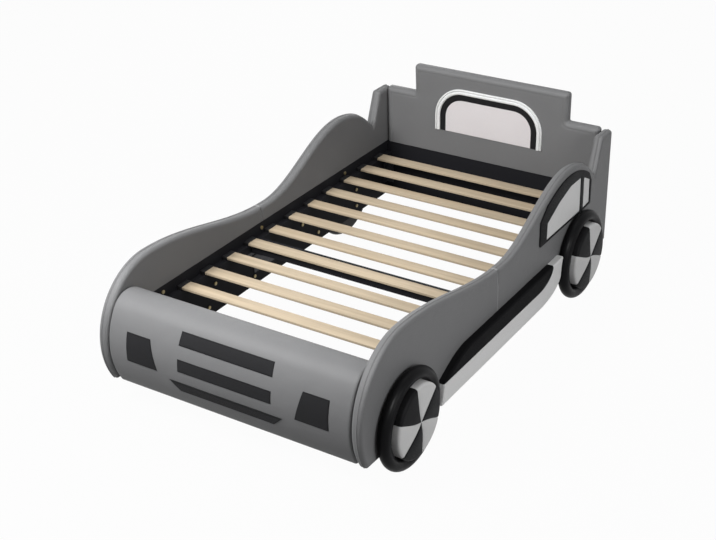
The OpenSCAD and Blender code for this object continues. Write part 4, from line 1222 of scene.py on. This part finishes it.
class CARBED_OT_hubs(bpy.types.Operator):
    """Sews the swirled hub cushions from grey and black segments"""
    bl_idname = "car_bed.hubs"
    bl_label = "Hubs"

    def execute(self, context):
        w = settings("wheels")
        disc_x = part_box("wheel_disc_front_right")[1].x
        hub_r = w.hub_r
        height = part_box("hub_grey_front_right")[1].x - BODY_X
        ball = (hub_r ** 2 + w.hub_crown ** 2) / (2 * w.hub_crown)
        ball_x = height - ball
        rim_r = hub_r - w.hub_edge_r
        rim_x = ball_x + sqrt((ball - w.hub_edge_r) ** 2 - rim_r ** 2)
        touch = rim_r * ball / (ball - w.hub_edge_r)

        def dome(r):
            if r < touch:
                return ball_x + sqrt(ball ** 2 - r * r)
            return rim_x + sqrt(max(w.hub_edge_r ** 2 - (r - rim_r) ** 2, 0))

        radii = HUB_CENTRE + spread(HUB_FACE, touch, 20) + [
            rim_r + w.hub_edge_r * sin(radians(a)) for a in HUB_RIM_ANGLES]
        shares = [0.5 - 0.5 * cos(pi * k / HUB_COLUMNS) for k in range(HUB_COLUMNS + 1)]
        step = 2 * pi / w.segments

        def segment(k):
            rows = []
            for r in radii:
                out = min(1, r / hub_r)
                lead = w.turn + k * step + w.swirl * (1 - out) ** SWIRL_POWER
                row = []
                for s in shares:
                    a = lead + s * step
                    near = min(s, 1 - s) * step * r
                    swell = w.puff * (1 - (2 * s - 1) ** 2) ** PUFF_ACROSS * sin(pi * out ** PUFF_ALONG)
                    x = dome(r) + swell - w.groove * exp(-(near / w.groove_w) ** 2)
                    row.append((BODY_X + x, r * cos(a), r * sin(a)))
                rows.append(row)
            bm = skin(rows, capped=False)
            bmesh.ops.remove_doubles(bm, verts=bm.verts[:], dist=NEAR)
            rim = [e for e in bm.edges if e.is_boundary]
            for v in bmesh.ops.extrude_edge_only(bm, edges=rim)["geom"]:
                if isinstance(v, bmesh.types.BMVert):
                    v.co.x = disc_x + GAP
            return closed(bm)

        for end in ENDS:
            y, z, _, _ = wheel(end)
            for side, sign in SIDES.items():
                for tone, surface, slot, first in (("grey", "silver", "silver_leather", 0),
                                                   ("black", "black", "black_leather", 1)):
                    bm = bmesh.new()
                    for k in range(first, w.segments, 2):
                        merged(bm, segment(k))
                    placed(bm, lambda a, b, c: (sign * a, y + b, z + c))
                    piece(f"hub_{tone}_segments_{end}_{side}", bm, surface,
                          f"hub_{tone}_{end}_{side}", sharp=60)
        return {"FINISHED"}


# Radii of the slats' and the caps' edges
SLAT_RIM, CAP_RIM = 0.0014, 0.0012


class CARBED_OT_slats(bpy.types.Operator):
    """Cuts the slats and clips their ends into caps"""
    bl_idname = "car_bed.slats"
    bl_label = "Slats and Caps"

    def execute(self, context):
        w = settings("wheels")
        low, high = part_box("slats")
        cap_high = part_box("slat_caps")[1]
        pitch = (high.y - low.y - w.slat_w) / (w.slats - 1)
        slats, caps = bmesh.new(), bmesh.new()
        wall = w.cap_wall
        for i in range(w.slats):
            y0 = low.y + i * pitch
            y1 = y0 + w.slat_w
            merged(slats, block((low.x, y0, low.z), (high.x, y1, high.z), SLAT_RIM))
            for sign in SIDES.values():
                x0, x1 = sorted((sign * (cap_high.x - w.cap_l), sign * cap_high.x))
                cap = block((x0, y0 - wall, low.z - wall), (x1, y1 + wall, high.z + wall), CAP_RIM)
                mouth = max((f for f in cap.faces if f.normal.x * sign < -0.99),
                            key=lambda f: f.calc_area())
                bmesh.ops.inset_region(cap, faces=[mouth], thickness=wall - CAP_RIM,
                                       use_even_offset=True)
                raised(cap, [mouth], (sign * (w.cap_l - wall), 0, 0))
                bmesh.ops.delete(cap, geom=[mouth], context="FACES_ONLY")
                merged(caps, cap)
        piece("poplar_slats", slats, "slat", "slats")
        piece("slat_end_caps", caps, "plastic", "slat_caps")
        return {"FINISHED"}


class CARBED_OT_fittings(bpy.types.Operator):
    """Gives the rails, boards, discs and steel fittings of the frame their finishes"""
    bl_idname = "car_bed.fittings"
    bl_label = "Boards and Fittings"

    def execute(self, context):
        kinds = {
            "rail": ["inner_rail_left", "inner_rail_right", "slat_ledge_left", "slat_ledge_right",
                     "head_rail", "foot_rail", "cross_beam"],
            "board": ["headboard_board", "footboard_formers"]
                     + [f"side_{e}_board_{s}" for e in ENDS for s in SIDES],
            "disc": [f"wheel_disc_{e}_{s}" for e in ENDS for s in SIDES],
            "steel": ["beam_brackets", "corner_brackets", "joining_plates", "bracket_screws"],
            "bolt": ["rail_bolts", "wheel_bolts", "sill_bolts"],
        }
        for surface, nodes in kinds.items():
            for name in nodes:
                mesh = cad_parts[name].data
                mesh.materials.clear()
                mesh.materials.append(finish(surface))
        return {"FINISHED"}


class CARBED_OT_studio(bpy.types.Operator):
    """Sets up the floor, the lights and the camera"""
    bl_idname = "car_bed.studio"
    bl_label = "Studio"

    def execute(self, context):
        s = settings("studio")
        scene = bpy.context.scene
        bm = bmesh.new()
        bmesh.ops.create_grid(bm, x_segments=1, y_segments=1, size=FLOOR_HALF)
        floor = solid("floor", bm)
        paper = Finish("floor_paper")
        floor.data.materials.append(paper.done(Base_Color=FLOOR_GREY, Roughness=0.9))
        paper.show_white("Principled BSDF", "Material Output", "ShaderNodeEmission", s.glow, s.glow_share)
        scene.world = bpy.data.worlds.new("studio")
        scene.world.use_nodes = True
        sky = Graph(scene.world.node_tree)
        sky.feed(sky.tree.nodes["Background"].inputs["Color"], (1, 1, 1))
        sky.feed(sky.tree.nodes["Background"].inputs["Strength"], s.sky)
        sky.show_white("Background", "World Output", "ShaderNodeBackground", 1, 1)
        for name, (place, target, size, diffuse) in LAMPS.items():
            data = bpy.data.lights.new(name, "AREA")
            data.shape = "SQUARE"
            data.size = size
            data.energy = getattr(s, name)
            lamp = bpy.data.objects.new(name, data)
            lamp.location = place
            lamp.visible_diffuse = diffuse
            lamp.rotation_euler = (Vector(target) - Vector(place)).to_track_quat("-Z", "Y").to_euler()
            scene.collection.objects.link(lamp)
        turn, tilt, roll = s.camera_turn, s.camera_tilt, s.camera_roll
        back = Vector((sin(turn) * cos(tilt), -cos(turn) * cos(tilt), sin(tilt)))
        right = Vector((cos(turn), sin(turn), 0))
        up = back.cross(right)
        right, up = cos(roll) * right + sin(roll) * up, -sin(roll) * right + cos(roll) * up
        data = bpy.data.cameras.new("photo_view")
        data.sensor_width = SENSOR_W
        data.lens = s.focal / PHOTO_W * SENSOR_W
        data.clip_end = 60.0
        camera = bpy.data.objects.new("photo_view", data)
        columns = Matrix((right, up, back)).transposed().to_4x4()
        camera.matrix_world = Matrix.Translation((s.camera_x, s.camera_y, s.camera_z)) @ columns
        scene.collection.objects.link(camera)
        scene.camera = camera
        scene.view_settings.view_transform = "Standard"
        return {"FINISHED"}


OPERATORS = [CARBED_OT_side_panels, CARBED_OT_headboard, CARBED_OT_rear_window, CARBED_OT_footboard,
             CARBED_OT_front_patches, CARBED_OT_sills, CARBED_OT_side_windows, CARBED_OT_tyres,
             CARBED_OT_hubs, CARBED_OT_slats, CARBED_OT_fittings, CARBED_OT_studio]


class CARBED_PT_panel(bpy.types.Panel):
    """Lists the bed's pieces and settings"""
    bl_idname = "CARBED_PT_panel"
    bl_label = "Car Bed"
    bl_space_type = "VIEW_3D"
    bl_region_type = "UI"
    bl_category = "Car Bed"

    def draw(self, context):
        for operator in OPERATORS:
            self.layout.operator(operator.bl_idname)
        for group in GROUPS:
            box = self.layout.box()
            box.label(text=group.capitalize())
            values = settings(group)
            for name in values.__annotations__:
                box.prop(values, name)


def register():
    for cls in [*GROUPS.values(), *OPERATORS, CARBED_PT_panel]:
        bpy.utils.register_class(cls)
    for name, cls in GROUPS.items():
        setattr(bpy.types.Scene, "car_bed_" + name, PointerProperty(type=cls))


def unregister():
    for name in GROUPS:
        delattr(bpy.types.Scene, "car_bed_" + name)
    for cls in reversed([*GROUPS.values(), *OPERATORS, CARBED_PT_panel]):
        bpy.utils.unregister_class(cls)


def main():
    """Builds every piece."""
    register()
    for operator in OPERATORS:
        getattr(bpy.ops.car_bed, operator.bl_idname.split(".")[1])()


if __name__ == "__main__":
    main()
